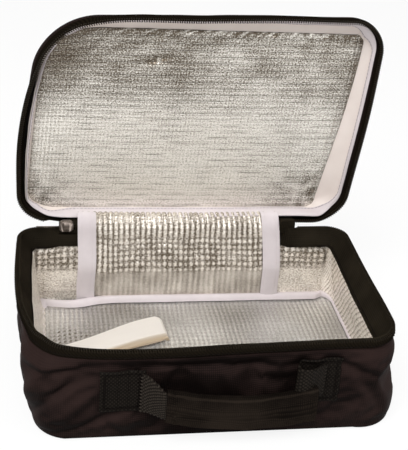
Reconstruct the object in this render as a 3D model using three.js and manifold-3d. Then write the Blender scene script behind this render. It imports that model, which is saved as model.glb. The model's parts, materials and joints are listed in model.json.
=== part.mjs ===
// An insulated lunch tote standing open: a padded box whose zip-round lid turns on a fabric hinge.
// Millimetres. The origin is the centre of the underside, +X is right, +Y is the hinge side, +Z is up.
import * as THREE from "three";
import { mergeVertices } from "three/addons/utils/BufferGeometryUtils.js";
import Module from "manifold-3d";

const wasm = await Module();
wasm.setup();

// Box, measured over the outer fabric.
const bodyWidth = 252;
const bodyDepth = 164;
const cornerRadius = 26;
const teethHeight = 70; // underside to the top of the base zip
const lidDepth = 24; // lid zip to the lid's outer face
const lidOpening = 90; // degrees between closed and the pose that is modelled
const cornerSteps = 7;

// Soft rims lean out past the body, on the short sides and on the long ones.
const sideFlare = 4;
const frontFlare = 1;
const flareHeight = 19;

// Layers from the outside in.
const fabric = 1.2;
const foam = 4;
const foil = 1;
const gussetLining = 0.8;
const layerGap = 0.2;

// Zip: a coil on the free edge of a tape, parted by zipGap when the lid is closed.
const tapeShown = 9;
const tapeThickness = 0.8;
const tapeInset = 0.4;
const coilHeight = 1.8;
const coilThickness = 2.2;
const zipGap = 0.6;
const sewnGap = 0.3;

// Bindings and strips.
const bindingWidth = 7;
const bindingThickness = 1;
const stripWidth = 13.5;
const stripThickness = 1.2;
const facingHeight = 10;

// Fabric hinge on the straight rear run; zipRun at each end is left to the slider and the end tab.
const hingeOffset = 2.5;
const zipRun = 23;
const hingeFabric = 1;
const hingeFabricDrop = 8;
const hingeLap = 9;

// Slider, its travel, its end tab and its pull.
const sliderLength = 11;
const sliderPlate = 1.1;
const sliderDepth = 6.5;
const sliderClearance = 0.5;
const sliderTravel = 8;
const sliderBridge = 1.6;
const lugThickness = 1.3;
const lugReach = 3.8;
const pinRadius = 0.8;
const eyeRadius = 1.7;
const pinClearance = 0.3;
const pullLength = 20;
const pullWidth = 6;
const pullThickness = 1.2;
const endTabLength = 10.4;
const endTabDepth = 3.6;

// Handle on the front wall.
const anchorSpacing = 132;
const anchorWidth = 30;
const anchorHeight = 32;
const anchorThickness = 1.6;
const anchorBase = 22;
const anchorGap = 0.4;
const gripLength = 100;
const gripShift = 13; // how far the sleeve has slid to the right on its web
const gripHeight = 20;
const gripThickness = 9;
const coreHeight = 15;
const webThickness = 2.4;
const webRoot = 10; // outwards from a patch's middle to where the web is sewn on
const gripStandOff = 6.2; // wall to the back of the grip
const gripSag = 9.5; // patches' middle down to the middle of the grip's ends
const gripBow = 4.5; // how much lower the grip's middle hangs than its ends

// Elastic strap, sewn to the left wall at its root and lying across the floor.
const strapWidth = 25;
const strapLength = 96;
const strapThickness = 1.2;
const strapSlack = 0.8; // space between the two layers
const strapAngle = 17.5; // degrees from +X towards the hinge
const strapY = 3;
const strapPatchLength = 5.4;
const strapPatchThickness = 2;

// Places worked out from the sizes above.
const seamHeight = teethHeight - tapeShown;
const liningTop = seamHeight - facingHeight;
const flareStart = teethHeight - flareHeight;
const foamInset = fabric + layerGap;
const liningInset = foamInset + foam + layerGap;
const innerInset = liningInset + foil;
const floorFoamTop = fabric + layerGap + foam;
const floorTop = floorFoamTop + layerGap + foil;
const bindingTop = floorTop + layerGap + bindingThickness;
const rearFace = bodyDepth / 2;
const hingeY = rearFace + frontFlare + hingeOffset;
const hingeZ = teethHeight + zipGap / 2;
const rearStraight = bodyWidth / 2 + sideFlare - cornerRadius - frontFlare;
const hingeHalf = rearStraight - zipRun;
const backInnerFace = rearFace - innerInset;
const sliderX = -(rearStraight - sliderTravel - sliderLength / 2) - sewnGap;
const farCut = bodyWidth + bodyDepth;

const materials = {
  black: new THREE.MeshStandardMaterial({ color: 0x211c1a, roughness: 0.85, metalness: 0 }),
  web: new THREE.MeshStandardMaterial({ color: 0x262220, roughness: 0.75, metalness: 0 }),
  tape: new THREE.MeshStandardMaterial({ color: 0x1c1a16, roughness: 0.8, metalness: 0 }),
  coil: new THREE.MeshStandardMaterial({ color: 0x2a2722, roughness: 0.45, metalness: 0 }),
  foam: new THREE.MeshStandardMaterial({ color: 0xe6e2da, roughness: 0.95, metalness: 0 }),
  foil: new THREE.MeshStandardMaterial({ color: 0xb8b0a4, roughness: 0.3, metalness: 0.9 }),
  white: new THREE.MeshStandardMaterial({ color: 0xdcd3d6, roughness: 0.7, metalness: 0 }),
  liner: new THREE.MeshStandardMaterial({ color: 0xd9cbc2, roughness: 0.5, metalness: 0 }),
  elastic: new THREE.MeshStandardMaterial({ color: 0xefe9e2, roughness: 0.8, metalness: 0 }),
  metal: new THREE.MeshStandardMaterial({ color: 0x4a423e, roughness: 0.4, metalness: 0.8 }),
};

const tote = new THREE.Group();
const lid = new THREE.Group();
lid.position.set(0, hingeY, hingeZ);
lid.rotation.x = -THREE.MathUtils.degToRad(lidOpening);
tote.add(lid);

function addPiece(parent, name, geometry, material) {
  const piece = new THREE.Mesh(geometry, material);
  piece.name = name;
  parent.add(piece);
  return piece;
}

// Rounded rectangle at one height, counter-clockwise from above.
function roundedLoop(width, depth, radius, z) {
  const loop = [];
  for (let corner = 0; corner < 4; corner += 1) {
    const signX = corner === 0 || corner === 3 ? 1 : -1;
    const signY = corner < 2 ? 1 : -1;
    for (let step = 0; step <= cornerSteps; step += 1) {
      const angle = (corner + step / cornerSteps) * (Math.PI / 2);
      const x = signX * (width / 2 - radius) + radius * Math.cos(angle);
      const y = signY * (depth / 2 - radius) + radius * Math.sin(angle);
      loop.push(new THREE.Vector3(x, y, z));
    }
  }
  return loop;
}

// The body's outline, drawn in by inset, at a height that is `rise` below the teeth.
function bodyLoop(inset, rise, z) {
  const lean = THREE.MathUtils.clamp(1 - rise / flareHeight, 0, 1);
  const width = bodyWidth + 2 * (sideFlare * lean - inset);
  const depth = bodyDepth + 2 * (frontFlare * lean - inset);
  return roundedLoop(width, depth, cornerRadius + frontFlare * lean - inset, z);
}

// Skins a row of closed loops that each turn right-handed about the way the row runs.
function loft(loops, closed) {
  const count = loops[0].length;
  const positions = loops.flat().flatMap((point) => [point.x, point.y, point.z]);
  const index = [];
  const spans = closed ? loops.length : loops.length - 1;
  for (let row = 0; row < spans; row += 1) {
    const next = (row + 1) % loops.length;
    for (let k = 0; k < count; k += 1) {
      const a = row * count + k;
      const b = row * count + ((k + 1) % count);
      const c = next * count + ((k + 1) % count);
      const d = next * count + k;
      index.push(a, b, c, a, c, d);
    }
  }
  if (!closed) {
    const last = (loops.length - 1) * count;
    for (let k = 1; k < count - 1; k += 1) {
      index.push(0, k + 1, k);
      index.push(last, last + k, last + k + 1);
    }
  }
  const geometry = new THREE.BufferGeometry();
  geometry.setAttribute("position", new THREE.Float32BufferAttribute(positions, 3));
  geometry.setIndex(index);
  return geometry;
}

// A ring round the bag. The profile's points are [inset, height], inner side rising first.
function baseRing(profile) {
  const levels = profile.map(([inset, z]) => bodyLoop(inset, teethHeight - z, z));
  return loft(levels[0].map((_, i) => levels.map((level) => level[i])), true);
}

// The same round the closed lid, with heights above the lid's teeth.
function lidRing(profile) {
  const levels = profile.map(([inset, h]) => bodyLoop(inset, h, h));
  return loft(levels[0].map((_, i) => levels.map((level) => level[i])), true);
}

function band(inner, outer, bottom, top) {
  return [
    [inner, bottom],
    [inner, top],
    [outer, top],
    [outer, bottom],
  ];
}

function plate(inset, bottom, top) {
  const rise = flareHeight;
  return loft([bodyLoop(inset, rise, bottom), bodyLoop(inset, rise, top)], false);
}

function boxBetween(x0, x1, y0, y1, z0, z1) {
  const box = new THREE.BoxGeometry(x1 - x0, y1 - y0, z1 - z0);
  return box.translate((x0 + x1) / 2, (y0 + y1) / 2, (z0 + z1) / 2);
}

function toSolid(geometry) {
  const plain = geometry.clone();
  plain.deleteAttribute("normal");
  plain.deleteAttribute("uv");
  const merged = mergeVertices(plain, 1e-4);
  return new wasm.Manifold(
    new wasm.Mesh({
      numProp: 3,
      vertProperties: new Float32Array(merged.attributes.position.array),
      triVerts: new Uint32Array(merged.index.array),
    }),
  );
}

function fromSolid(solid) {
  const mesh = solid.getMesh();
  const geometry = new THREE.BufferGeometry();
  geometry.setAttribute("position", new THREE.Float32BufferAttribute(mesh.vertProperties, 3));
  geometry.setIndex(new THREE.BufferAttribute(mesh.triVerts, 1));
  return geometry;
}

const cut = (geometry, tool) => fromSolid(toSolid(geometry).subtract(toSolid(tool)));
const join = (geometry, other) => fromSolid(toSolid(geometry).add(toSolid(other)));

// Leaves out the stretch of a ring that lies on the rear wall between two places on X.
function openRear(ring, left, right) {
  return cut(ring, boxBetween(left, right, rearFace / 2, farCut, -farCut, farCut));
}

// Extrudes a closed outline of [y, z] points along X.
function extrudeAlongX(points, x0, x1) {
  const shape = new THREE.Shape(points.map(([y, z]) => new THREE.Vector2(y, z)));
  const solid = new THREE.ExtrudeGeometry(shape, { depth: x1 - x0, bevelEnabled: false });
  const toX = new THREE.Matrix4().set(0, 0, 1, x0, 1, 0, 0, 0, 0, 1, 0, 0, 0, 0, 0, 1);
  return solid.applyMatrix4(toX);
}

// Outline of a sheet that follows a smooth line of [y, z] points, moved sideways by shift.
function sheetOutline(points, thickness, shift) {
  const steps = 14;
  const line = new THREE.SplineCurve(points.map(([y, z]) => new THREE.Vector2(y, z)));
  const near = [];
  const far = [];
  for (let step = 0; step <= steps; step += 1) {
    const point = line.getPoint(step / steps);
    const along = line.getTangent(step / steps);
    const offsetTo = (by) => [point.x - along.y * by, point.y + along.x * by];
    near.push(offsetTo(shift - thickness / 2));
    far.push(offsetTo(shift + thickness / 2));
  }
  return [...near, ...far.reverse()];
}

// Base: outer fabric, padding and lining.
function buildBaseShell() {
  addPiece(tote, "bottom_panel", plate(0, 0, fabric), materials.black);
  const wall = [
    [fabric, fabric],
    [fabric, flareStart],
    [fabric, seamHeight],
    [0, seamHeight],
    [0, flareStart],
    [0, fabric],
  ];
  addPiece(tote, "wall_band", baseRing(wall), materials.black);
  const foamOut = foamInset + foam;
  const foamTop = seamHeight - layerGap;
  const padding = [
    [foamOut, fabric + layerGap],
    [foamOut, flareStart],
    [foamOut, foamTop],
    [foamInset, foamTop],
    [foamInset, flareStart],
    [foamInset, fabric + layerGap],
  ];
  addPiece(tote, "foam_wall", baseRing(padding), materials.foam);
  const floorFoam = plate(foamOut + layerGap, fabric + layerGap, floorFoamTop);
  addPiece(tote, "foam_floor", floorFoam, materials.foam);
}

function buildBaseLining() {
  const floor = plate(liningInset, floorFoamTop + layerGap, floorTop);
  addPiece(tote, "lining_floor", floor, materials.foil);
  const wallFoil = baseRing(band(innerInset, liningInset, floorTop + layerGap, liningTop));
  addPiece(tote, "lining_wrap", openRear(wallFoil, -hingeHalf, hingeHalf), materials.foil);
  const backHalf = hingeHalf - sewnGap;
  const backTop = seamHeight - layerGap;
  const backFoil = boxBetween(
    -backHalf,
    backHalf,
    backInnerFace,
    backInnerFace + foil,
    floorTop + layerGap,
    backTop,
  );
  addPiece(tote, "back_lining", backFoil, materials.foil);
  const stripFace = backInnerFace - layerGap;
  for (const [side, x0] of [["left", -backHalf], ["right", backHalf - stripWidth]]) {
    const strip = boxBetween(
      x0,
      x0 + stripWidth,
      stripFace - stripThickness,
      stripFace,
      bindingTop + layerGap,
      backTop,
    );
    addPiece(tote, "back_strip_" + side, strip, materials.white);
  }
  const seam = innerInset + layerGap;
  const binding = band(seam + bindingWidth, seam, floorTop + layerGap, bindingTop);
  addPiece(tote, "floor_binding", baseRing(binding), materials.white);
  const lipTop = seamHeight + layerGap + foil;
  const lipEdge = tapeInset + tapeThickness + sewnGap;
  const facing = [
    [innerInset, liningTop + layerGap],
    [innerInset, lipTop],
    [lipEdge, lipTop],
    [lipEdge, seamHeight + layerGap],
    [liningInset, seamHeight + layerGap],
    [liningInset, liningTop + layerGap],
  ];
  const facingRing = openRear(baseRing(facing), -hingeHalf, hingeHalf);
  addPiece(tote, "rim_facing", facingRing, materials.black);
}

// The tape and the coil of one zip half, as profiles that rise from the seam to the teeth.
const tapeInner = tapeInset + tapeThickness;
const coilInner = tapeInset + (tapeThickness + coilThickness) / 2;
const coilOuter = coilInner - coilThickness;
const endTabRight = hingeHalf + sewnGap + endTabLength;

function buildZip() {
  const tapeTop = teethHeight - coilHeight - sewnGap;
  const tape = baseRing(band(tapeInner, tapeInset, seamHeight + layerGap, tapeTop));
  const coil = baseRing(band(coilInner, coilOuter, teethHeight - coilHeight, teethHeight));
  const right = endTabRight + sewnGap;
  addPiece(tote, "zip_tape_base", openRear(tape, -hingeHalf, right), materials.tape);
  addPiece(tote, "zip_coil_base", openRear(coil, -hingeHalf, right), materials.coil);
  const tabRear = rearFace + frontFlare + sewnGap;
  const tab = boxBetween(
    hingeHalf + sewnGap,
    endTabRight,
    tabRear - endTabDepth,
    tabRear,
    seamHeight + 2 * layerGap + foil,
    teethHeight + coilHeight,
  );
  addPiece(tote, "zip_end_tab", tab, materials.black);
}

// Lid, drawn closed: x and y are the base's, and heights run up from the lid's own teeth.
function buildLid() {
  const closed = new THREE.Group();
  closed.position.set(0, -hingeY, zipGap / 2);
  lid.add(closed);
  const left = sliderX - sliderLength / 2 - sliderTravel - 2 * sliderClearance;
  const right = endTabRight + sewnGap;
  const coil = lidRing(band(coilInner, coilOuter, 0, coilHeight));
  addPiece(closed, "zip_coil_lid", openRear(coil, left, right), materials.coil);
  const tape = lidRing(band(tapeInner, tapeInset, coilHeight + sewnGap, tapeShown - layerGap));
  addPiece(closed, "zip_tape_lid", openRear(tape, left, right), materials.tape);

  const panelInside = lidDepth - fabric;
  const foamBottom = panelInside - layerGap - foam;
  const foilBottom = foamBottom - layerGap - foil;
  const gusset = lidRing(band(fabric, 0, tapeShown, panelInside));
  addPiece(closed, "lid_gusset", gusset, materials.black);
  addPiece(closed, "lid_top_panel", plate(0, panelInside, lidDepth), materials.black);
  const padding = plate(fabric + layerGap, foamBottom, panelInside - layerGap);
  addPiece(closed, "lid_foam", padding, materials.foam);
  const linerOut = fabric + layerGap;
  const linerIn = linerOut + gussetLining;
  const liner = lidRing(band(linerIn, linerOut, tapeShown, foamBottom - layerGap));
  addPiece(closed, "lid_gusset_lining", liner, materials.liner);
  const foilInset = linerIn + layerGap;
  addPiece(closed, "lid_lining", plate(foilInset, foilBottom, foamBottom - layerGap), materials.foil);
  const bindingLow = foilBottom - layerGap - bindingThickness;
  const binding = band(foilInset + bindingWidth, foilInset, bindingLow, foilBottom - layerGap);
  addPiece(closed, "lid_binding", lidRing(binding), materials.white);
}

// Hinge sheets between the rear wall and the lid's rear gusset, in the open pose.
function buildHinge() {
  const rearLean = (1 - tapeShown / flareHeight) * frontFlare;
  const gussetFace = hingeZ + hingeY - rearFace - rearLean;
  const gussetEdge = hingeY + zipGap / 2 + tapeShown;
  const outerY = rearFace + rearLean + sewnGap + hingeFabric / 2;
  const outerZ = gussetFace - sewnGap - hingeFabric / 2;
  const outer = [
    [outerY, seamHeight - hingeFabricDrop],
    [outerY, seamHeight],
    [(outerY + hingeY) / 2, hingeZ - hingeOffset],
    [hingeY + hingeOffset, outerZ - layerGap],
    [gussetEdge, outerZ],
    [gussetEdge + hingeLap, outerZ],
  ];
  const half = hingeHalf - sewnGap;
  const fabricSheet = extrudeAlongX(sheetOutline(outer, hingeFabric, 0), -half, half);
  addPiece(tote, "hinge_fabric", fabricSheet, materials.black);

  const linerTop = gussetFace + fabric + layerGap + gussetLining;
  const innerY = backInnerFace + foil / 2;
  const innerZ = linerTop + 2 * sewnGap + foil / 2;
  const bindingFace = hingeY + zipGap / 2 + lidDepth - fabric - foam - foil - bindingThickness;
  const inner = [
    [innerY, seamHeight + layerGap],
    [innerY + foil / 2, hingeZ - hingeOffset],
    [innerY + innerInset, innerZ - hingeOffset],
    [hingeY + hingeOffset, innerZ - layerGap],
    [gussetEdge, innerZ],
    [bindingFace - 4 * layerGap, innerZ],
  ];
  const foilSheet = extrudeAlongX(sheetOutline(inner, foil, 0), -half, half);
  addPiece(tote, "hinge_lining", foilSheet, materials.foil);
  const stripShift = foil / 2 + sewnGap + stripThickness / 2;
  const strip = sheetOutline(inner, stripThickness, stripShift);
  for (const [side, x0] of [["left", -half], ["right", half - stripWidth]]) {
    const sheet = extrudeAlongX(strip, x0, x0 + stripWidth);
    addPiece(tote, "hinge_strip_" + side, sheet, materials.white);
  }
}

// Handle: patches sewn to the front wall, webbing that leaves them, and a sleeve over a web core.
function webLoop(x, y, z, height, thickness) {
  const halfHeight = height / 2;
  const halfThickness = thickness / 2;
  return [
    new THREE.Vector3(x, y + halfThickness, z - halfHeight),
    new THREE.Vector3(x, y + halfThickness, z + halfHeight),
    new THREE.Vector3(x, y - halfThickness, z + halfHeight),
    new THREE.Vector3(x, y - halfThickness, z - halfHeight),
  ];
}

function gripLoop(x, y, z) {
  const sides = 16;
  const loop = [];
  for (let side = 0; side < sides; side += 1) {
    const angle = (side / sides) * 2 * Math.PI;
    const across = (gripThickness / 2) * Math.cos(angle);
    const up = (gripHeight / 2) * Math.sin(angle);
    loop.push(new THREE.Vector3(x, y + across, z + up));
  }
  return loop;
}

const frontFace = -bodyDepth / 2;
const anchorFace = frontFace - anchorGap - anchorThickness;
const anchorMiddle = anchorBase + anchorHeight / 2;
const gripY = frontFace - gripStandOff - gripThickness / 2;

function gripCentre(x) {
  const share = (x - gripShift) / (gripLength / 2);
  return anchorMiddle - gripSag + gripBow * (share * share - 1);
}

function buildHandle() {
  const stations = [-1, -0.67, -0.33, 0, 0.33, 0.67, 1];
  const sleeveLoops = [];
  const coreLoops = [];
  for (const share of stations) {
    const x = gripShift + (share * gripLength) / 2;
    sleeveLoops.push(gripLoop(x, gripY, gripCentre(x)));
    coreLoops.push(webLoop(x, gripY, gripCentre(x), coreHeight, webThickness));
  }
  const hollowLoops = stations.map((share) => {
    const x = gripShift + (share * (gripLength + 2 * webThickness)) / 2;
    return webLoop(x, gripY, gripCentre(x), coreHeight + 2 * sewnGap, webThickness + 2 * sewnGap);
  });
  const sleeve = cut(loft(sleeveLoops, false), loft(hollowLoops, false));
  addPiece(tote, "handle_grip", sleeve, materials.black);
  addPiece(tote, "handle_core", loft(coreLoops, false), materials.web);

  const webY = anchorFace - sewnGap - webThickness / 2;
  for (const [side, sign] of [["left", -1], ["right", 1]]) {
    const middle = (sign * anchorSpacing) / 2;
    const root = middle + sign * webRoot;
    const gripEnd = gripShift + sign * (gripLength / 2 + sewnGap);
    const patch = boxBetween(
      middle - anchorWidth / 2,
      middle + anchorWidth / 2,
      anchorFace,
      frontFace - anchorGap,
      anchorBase,
      anchorBase + anchorHeight,
    );
    addPiece(tote, "handle_anchor_" + side, patch, materials.web);
    const steps = [0, 0.25, 0.5, 0.75, 1];
    const loops = steps.map((share) => {
      const smooth = THREE.MathUtils.smoothstep(share, 0, 1);
      const x = THREE.MathUtils.lerp(root, gripEnd, share);
      const y = THREE.MathUtils.lerp(webY, gripY, smooth);
      const z = THREE.MathUtils.lerp(anchorMiddle, gripCentre(gripEnd), smooth);
      const height = THREE.MathUtils.lerp(anchorWidth, coreHeight, smooth);
      return webLoop(x, y, z, height, webThickness);
    });
    const web = loft(sign < 0 ? loops : loops.reverse(), false);
    addPiece(tote, "handle_web_" + side, web, materials.web);
  }
}

// Elastic strap: one folded loop, drawn lying along its own +X from its sewn root.
function buildStrap() {
  const wallX = -(bodyWidth / 2 - innerInset);
  const lean = THREE.MathUtils.degToRad(strapAngle);
  const bottom = bindingTop + sewnGap;
  const patchLeft = wallX + 2 * sewnGap;
  const patchRight = patchLeft + strapPatchLength;
  const patch = boxBetween(
    patchLeft,
    patchRight,
    strapY - strapWidth / 2,
    strapY + strapWidth / 2,
    bottom,
    bottom + strapPatchThickness,
  );
  addPiece(tote, "strap_patch", patch, materials.elastic);

  const outer = strapThickness + strapSlack / 2;
  const inner = strapSlack / 2;
  const fold = strapLength - outer;
  const side = new THREE.Shape();
  side.moveTo(0, -outer);
  side.lineTo(fold, -outer);
  side.absarc(fold, 0, outer, -Math.PI / 2, Math.PI / 2, false);
  side.lineTo(0, outer);
  side.lineTo(0, inner);
  side.lineTo(fold, inner);
  side.absarc(fold, 0, inner, Math.PI / 2, -Math.PI / 2, true);
  side.lineTo(0, -inner);
  const profile = { depth: strapWidth, bevelEnabled: false, curveSegments: 5 };
  const loop = new THREE.ExtrudeGeometry(side, profile);
  loop.rotateX(Math.PI / 2).translate(0, strapWidth / 2, outer);
  const root = new THREE.Group();
  const clear = sewnGap + (strapWidth / 2) * Math.sin(lean);
  root.position.set(patchRight + clear, strapY, bottom);
  root.rotation.z = lean;
  tote.add(root);
  addPiece(root, "elastic_loop", loop, materials.elastic);
}

// Zip slider: a channel over the base coil, with two lugs and an upright pin that carries the pull.
function buildSlider() {
  const coilMiddle = rearFace + frontFlare - tapeInset - tapeThickness / 2;
  const slotHalf = coilThickness / 2 + sliderClearance;
  const outerHalf = slotHalf + sliderPlate;
  const slotTop = teethHeight + sliderClearance;
  const top = slotTop + sliderBridge;
  const low = slotTop - sliderDepth;
  const channel = [
    [coilMiddle - outerHalf, low],
    [coilMiddle - slotHalf, low],
    [coilMiddle - slotHalf, slotTop],
    [coilMiddle + slotHalf, slotTop],
    [coilMiddle + slotHalf, low],
    [coilMiddle + outerHalf, low],
    [coilMiddle + outerHalf, top],
    [coilMiddle - outerHalf, top],
  ];
  const x0 = sliderX - sliderLength / 2;
  let slider = extrudeAlongX(channel, x0, x0 + sliderLength);
  const plateFace = coilMiddle + outerHalf;
  const pinY = plateFace + pinClearance + eyeRadius;
  const lugLow = low;
  const lugHigh = low + pullWidth;
  const lugHalf = eyeRadius;
  for (const z of [lugLow, lugHigh - lugThickness]) {
    const lug = boxBetween(
      sliderX - lugHalf,
      sliderX + lugHalf,
      plateFace - sliderPlate / 2,
      plateFace + lugReach,
      z,
      z + lugThickness,
    );
    slider = join(slider, lug);
  }
  const pinHeight = pullWidth - lugThickness;
  const pin = new THREE.CylinderGeometry(pinRadius, pinRadius, pinHeight, 16);
  pin.rotateX(Math.PI / 2).translate(sliderX, pinY, (lugLow + lugHigh) / 2);
  addPiece(tote, "zip_slider", join(slider, pin), materials.metal);

  const eyeHeight = pullWidth - 2 * lugThickness - 2 * pinClearance;
  const eyeLow = (lugLow + lugHigh - eyeHeight) / 2;
  const eye = new THREE.Shape();
  eye.absarc(0, 0, eyeRadius, 0, 2 * Math.PI, false);
  const hole = new THREE.Path();
  hole.absarc(0, 0, pinRadius + pinClearance, 0, 2 * Math.PI, true);
  eye.holes.push(hole);
  const ring = new THREE.ExtrudeGeometry(eye, {
    depth: eyeHeight,
    bevelEnabled: false,
    curveSegments: 12,
  });
  ring.translate(sliderX, pinY, eyeLow);
  const lugCorner = Math.hypot(lugHalf, Math.max(lugReach + plateFace - pinY, pinY - plateFace));
  const tabStart = sliderX - lugCorner - pinClearance;
  const neckStart = sliderX - (pinRadius + pinClearance + eyeRadius) / 2;
  const tabLow = pinY - pullThickness / 2;
  const tabHigh = pinY + pullThickness / 2;
  const neck = boxBetween(
    tabStart - pullThickness,
    neckStart,
    tabLow,
    tabHigh,
    eyeLow,
    eyeLow + eyeHeight,
  );
  const tab = boxBetween(tabStart - pullLength, tabStart, tabLow, tabHigh, lugLow, lugHigh);
  addPiece(tote, "zip_pull", join(join(ring, neck), tab), materials.metal);
}

buildBaseShell();
buildBaseLining();
buildZip();
buildLid();
buildHinge();
buildHandle();
buildStrap();
buildSlider();

export default tote;
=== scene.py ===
# A soft insulated lunch tote standing open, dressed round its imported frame.
# Shapes are worked out in millimetres and turned to metres where a mesh is made.
import json
import math

import bmesh
import bpy
import numpy as np
from mathutils import Matrix, Vector, noise


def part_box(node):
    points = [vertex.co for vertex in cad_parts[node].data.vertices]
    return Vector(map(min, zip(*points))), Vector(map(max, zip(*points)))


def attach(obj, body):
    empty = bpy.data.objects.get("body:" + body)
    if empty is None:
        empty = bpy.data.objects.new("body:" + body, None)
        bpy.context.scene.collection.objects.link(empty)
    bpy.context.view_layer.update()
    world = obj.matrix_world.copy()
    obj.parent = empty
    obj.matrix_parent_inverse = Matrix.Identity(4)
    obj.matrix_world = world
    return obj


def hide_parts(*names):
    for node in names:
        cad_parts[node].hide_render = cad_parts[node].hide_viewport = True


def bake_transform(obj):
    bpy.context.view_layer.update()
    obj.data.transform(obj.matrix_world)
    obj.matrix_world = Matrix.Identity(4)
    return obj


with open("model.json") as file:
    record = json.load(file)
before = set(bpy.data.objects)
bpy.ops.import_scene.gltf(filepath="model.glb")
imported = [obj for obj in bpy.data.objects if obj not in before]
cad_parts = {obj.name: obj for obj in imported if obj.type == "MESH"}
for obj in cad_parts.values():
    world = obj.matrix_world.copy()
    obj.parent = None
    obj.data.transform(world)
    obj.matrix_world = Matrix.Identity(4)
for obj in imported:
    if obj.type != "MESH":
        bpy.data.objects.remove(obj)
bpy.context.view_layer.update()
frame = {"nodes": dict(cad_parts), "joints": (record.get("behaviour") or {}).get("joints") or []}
mm = 0.001


def sides(node):
    low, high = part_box(node)
    return np.array(low) / mm, np.array(high) / mm


# Places taken from the frame
bodyHalfX, bodyHalfY = sides("bottom_panel")[1][:2]
seamZ = sides("wall_band")[1][2]  # top of the wall, where the zip tape is sewn on
teethZ = sides("zip_coil_base")[1][2]
liningTop = sides("lining_wrap")[1][2]
floorZ = sides("lining_floor")[1][2]
foilInset = bodyHalfY - sides("back_lining")[0][1]  # outer fabric to the foil's face
hingeHalf = sides("back_lining")[1][0]
joints = {joint["name"]: joint for joint in frame["joints"]}
hingeY, hingeZ = np.array(joints["lid_hinge"]["pos_m"][1:]) / mm
lidTeethY = sides("zip_coil_lid")[0][1]
lidDepth = sides("lid_top_panel")[1][1] - lidTeethY

bagShape = {
    "corner": 26.0,
    "base": {"rear": 18.0, "frontLeft": 26.0, "frontRight": 26.0, "slack": 0, "leftOut": 0, "rightIn": 4.0},
    # slack lowers the lid's far left corner; leftOut and rightIn move the sides
    "lid": {"rear": 24.0, "frontLeft": 34.0, "frontRight": 26.0, "slack": 3.4, "leftOut": 3.6, "rightIn": 0},
    "slackFrom": ((60, -110), (-10, -75)),  # where the slack grows, in x and in y
    "leftOutAt": (20, 58),
    "rightInFrom": (75, -20),
    "rightInFades": (20, 60),
    "tightening": 2.1,  # how much faster the rear corners tighten inwards
    "leastCorner": 3.5,
    "sideFlare": 4.0,  # how far the soft rim leans out on the short sides
    "frontFlare": 1.0,
    "flareHeight": 19.0,
    "softFrom": 28.0,  # the rim's unevenness dies out at this height
    "wander": ((0.45, 3, 0.6), (0.3, 7, 2.1)),  # the rim's waves: size, number and phase
    "rimRise": 3.0,  # the front rim stands this much higher at its right end
    "riseSpan": ((-30, 90), (230, 130)),
    "rimDip": 0.7,
    "dipAt": (-35, 30),
    "leftSwell": 3.0,  # the short sides' rims belly out in their middles
    "rightSwell": 1.6,
    "swellSpread": 46.0,
    "leftSwellShift": -20.0,
    "cornerDraw": 11.0,  # the zip's front left corner leans in, so it looks rounder
    "drawShift": -3.0,
    "drawSpread": 31.0,
    "drawDepth": 15.0,
    "drawShare": {"base": 1.0, "lid": 0.7},
    "cornerGrow": {"base": 0.0, "lid": 8.0},  # the far left corner is rounder away from the zip
    "growDepth": 12.0,
    "lidRack": 0.08,  # the open lid leans to the right by this share of its height
}

# The outline runs from the middle of the rear, over the left side, the front and the right side
runX, runY = bodyHalfX - bagShape["corner"], bodyHalfY - bagShape["corner"]
bend = bagShape["corner"] * math.pi / 2
cornerMarks = np.cumsum([0, runX, bend, 2 * runY, bend, 2 * runX, bend, 2 * runY, bend, runX])
around = cornerMarks[-1]
frontMiddle = around / 2


def ramp(value, low, high):
    share = np.clip((value - low) / (high - low), 0, 1)
    return share * share * (3 - 2 * share)


def bell(value, middle, width):
    return np.exp(-(((value - middle) / width) ** 2))


def between(start, end, share):
    return start * (1 - share) + end * share


# How far a round edge has dropped, at a distance past its start
def roundOff(radius, past):
    return radius - np.sqrt(np.maximum(radius**2 - past**2, 0))


def toEdge(value, low, high):
    return np.minimum(value - low, high - value)


def fromHinge(along):
    return np.minimum(along, around - along)


def outlineAt(along, halfX, halfY, radius, rearRadius=None):
    rearRadius = radius if rearRadius is None else rearRadius
    along, halfX, halfY, radius, rearRadius = np.broadcast_arrays(along, halfX, halfY, radius, rearRadius)
    along = np.clip(along, 0, around - 1e-6)
    part = np.searchsorted(cornerMarks, along, side="right") - 1
    share = (along - cornerMarks[part]) / np.diff(cornerMarks)[part]
    pick = lambda values: np.array(values)[part]
    startRadius = np.where(pick([1, 1, 1, 0, 0, 0, 0, 1, 1]), rearRadius, radius)
    endRadius = np.where(pick([1, 1, 0, 0, 0, 0, 1, 1, 1]), rearRadius, radius)
    startX, endX = pick([0, -1, -1, -1, -1, 1, 1, 1, 1]), pick([-1, -1, -1, -1, 1, 1, 1, 1, 0])
    startY, endY = pick([1, 1, 1, -1, -1, -1, -1, 1, 1]), pick([1, 1, -1, -1, -1, -1, 1, 1, 1])
    coreX = between(startX * (halfX - startRadius), endX * (halfX - endRadius), share)
    coreY = between(startY * (halfY - startRadius), endY * (halfY - endRadius), share)
    startTurn, endTurn = pick([1, 1, 2, 2, 3, 3, 4, 4, 5]), pick([1, 2, 2, 3, 3, 4, 4, 5, 5])
    turn = np.radians(90 * between(startTurn, endTurn, share))
    normal = np.stack([np.cos(turn), np.sin(turn)], -1)
    return np.stack([coreX, coreY], -1) + between(startRadius, endRadius, share)[..., None] * normal, normal


def plainNormal(along):
    return outlineAt(along, bodyHalfX, bodyHalfY, bagShape["corner"])[1]


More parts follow.
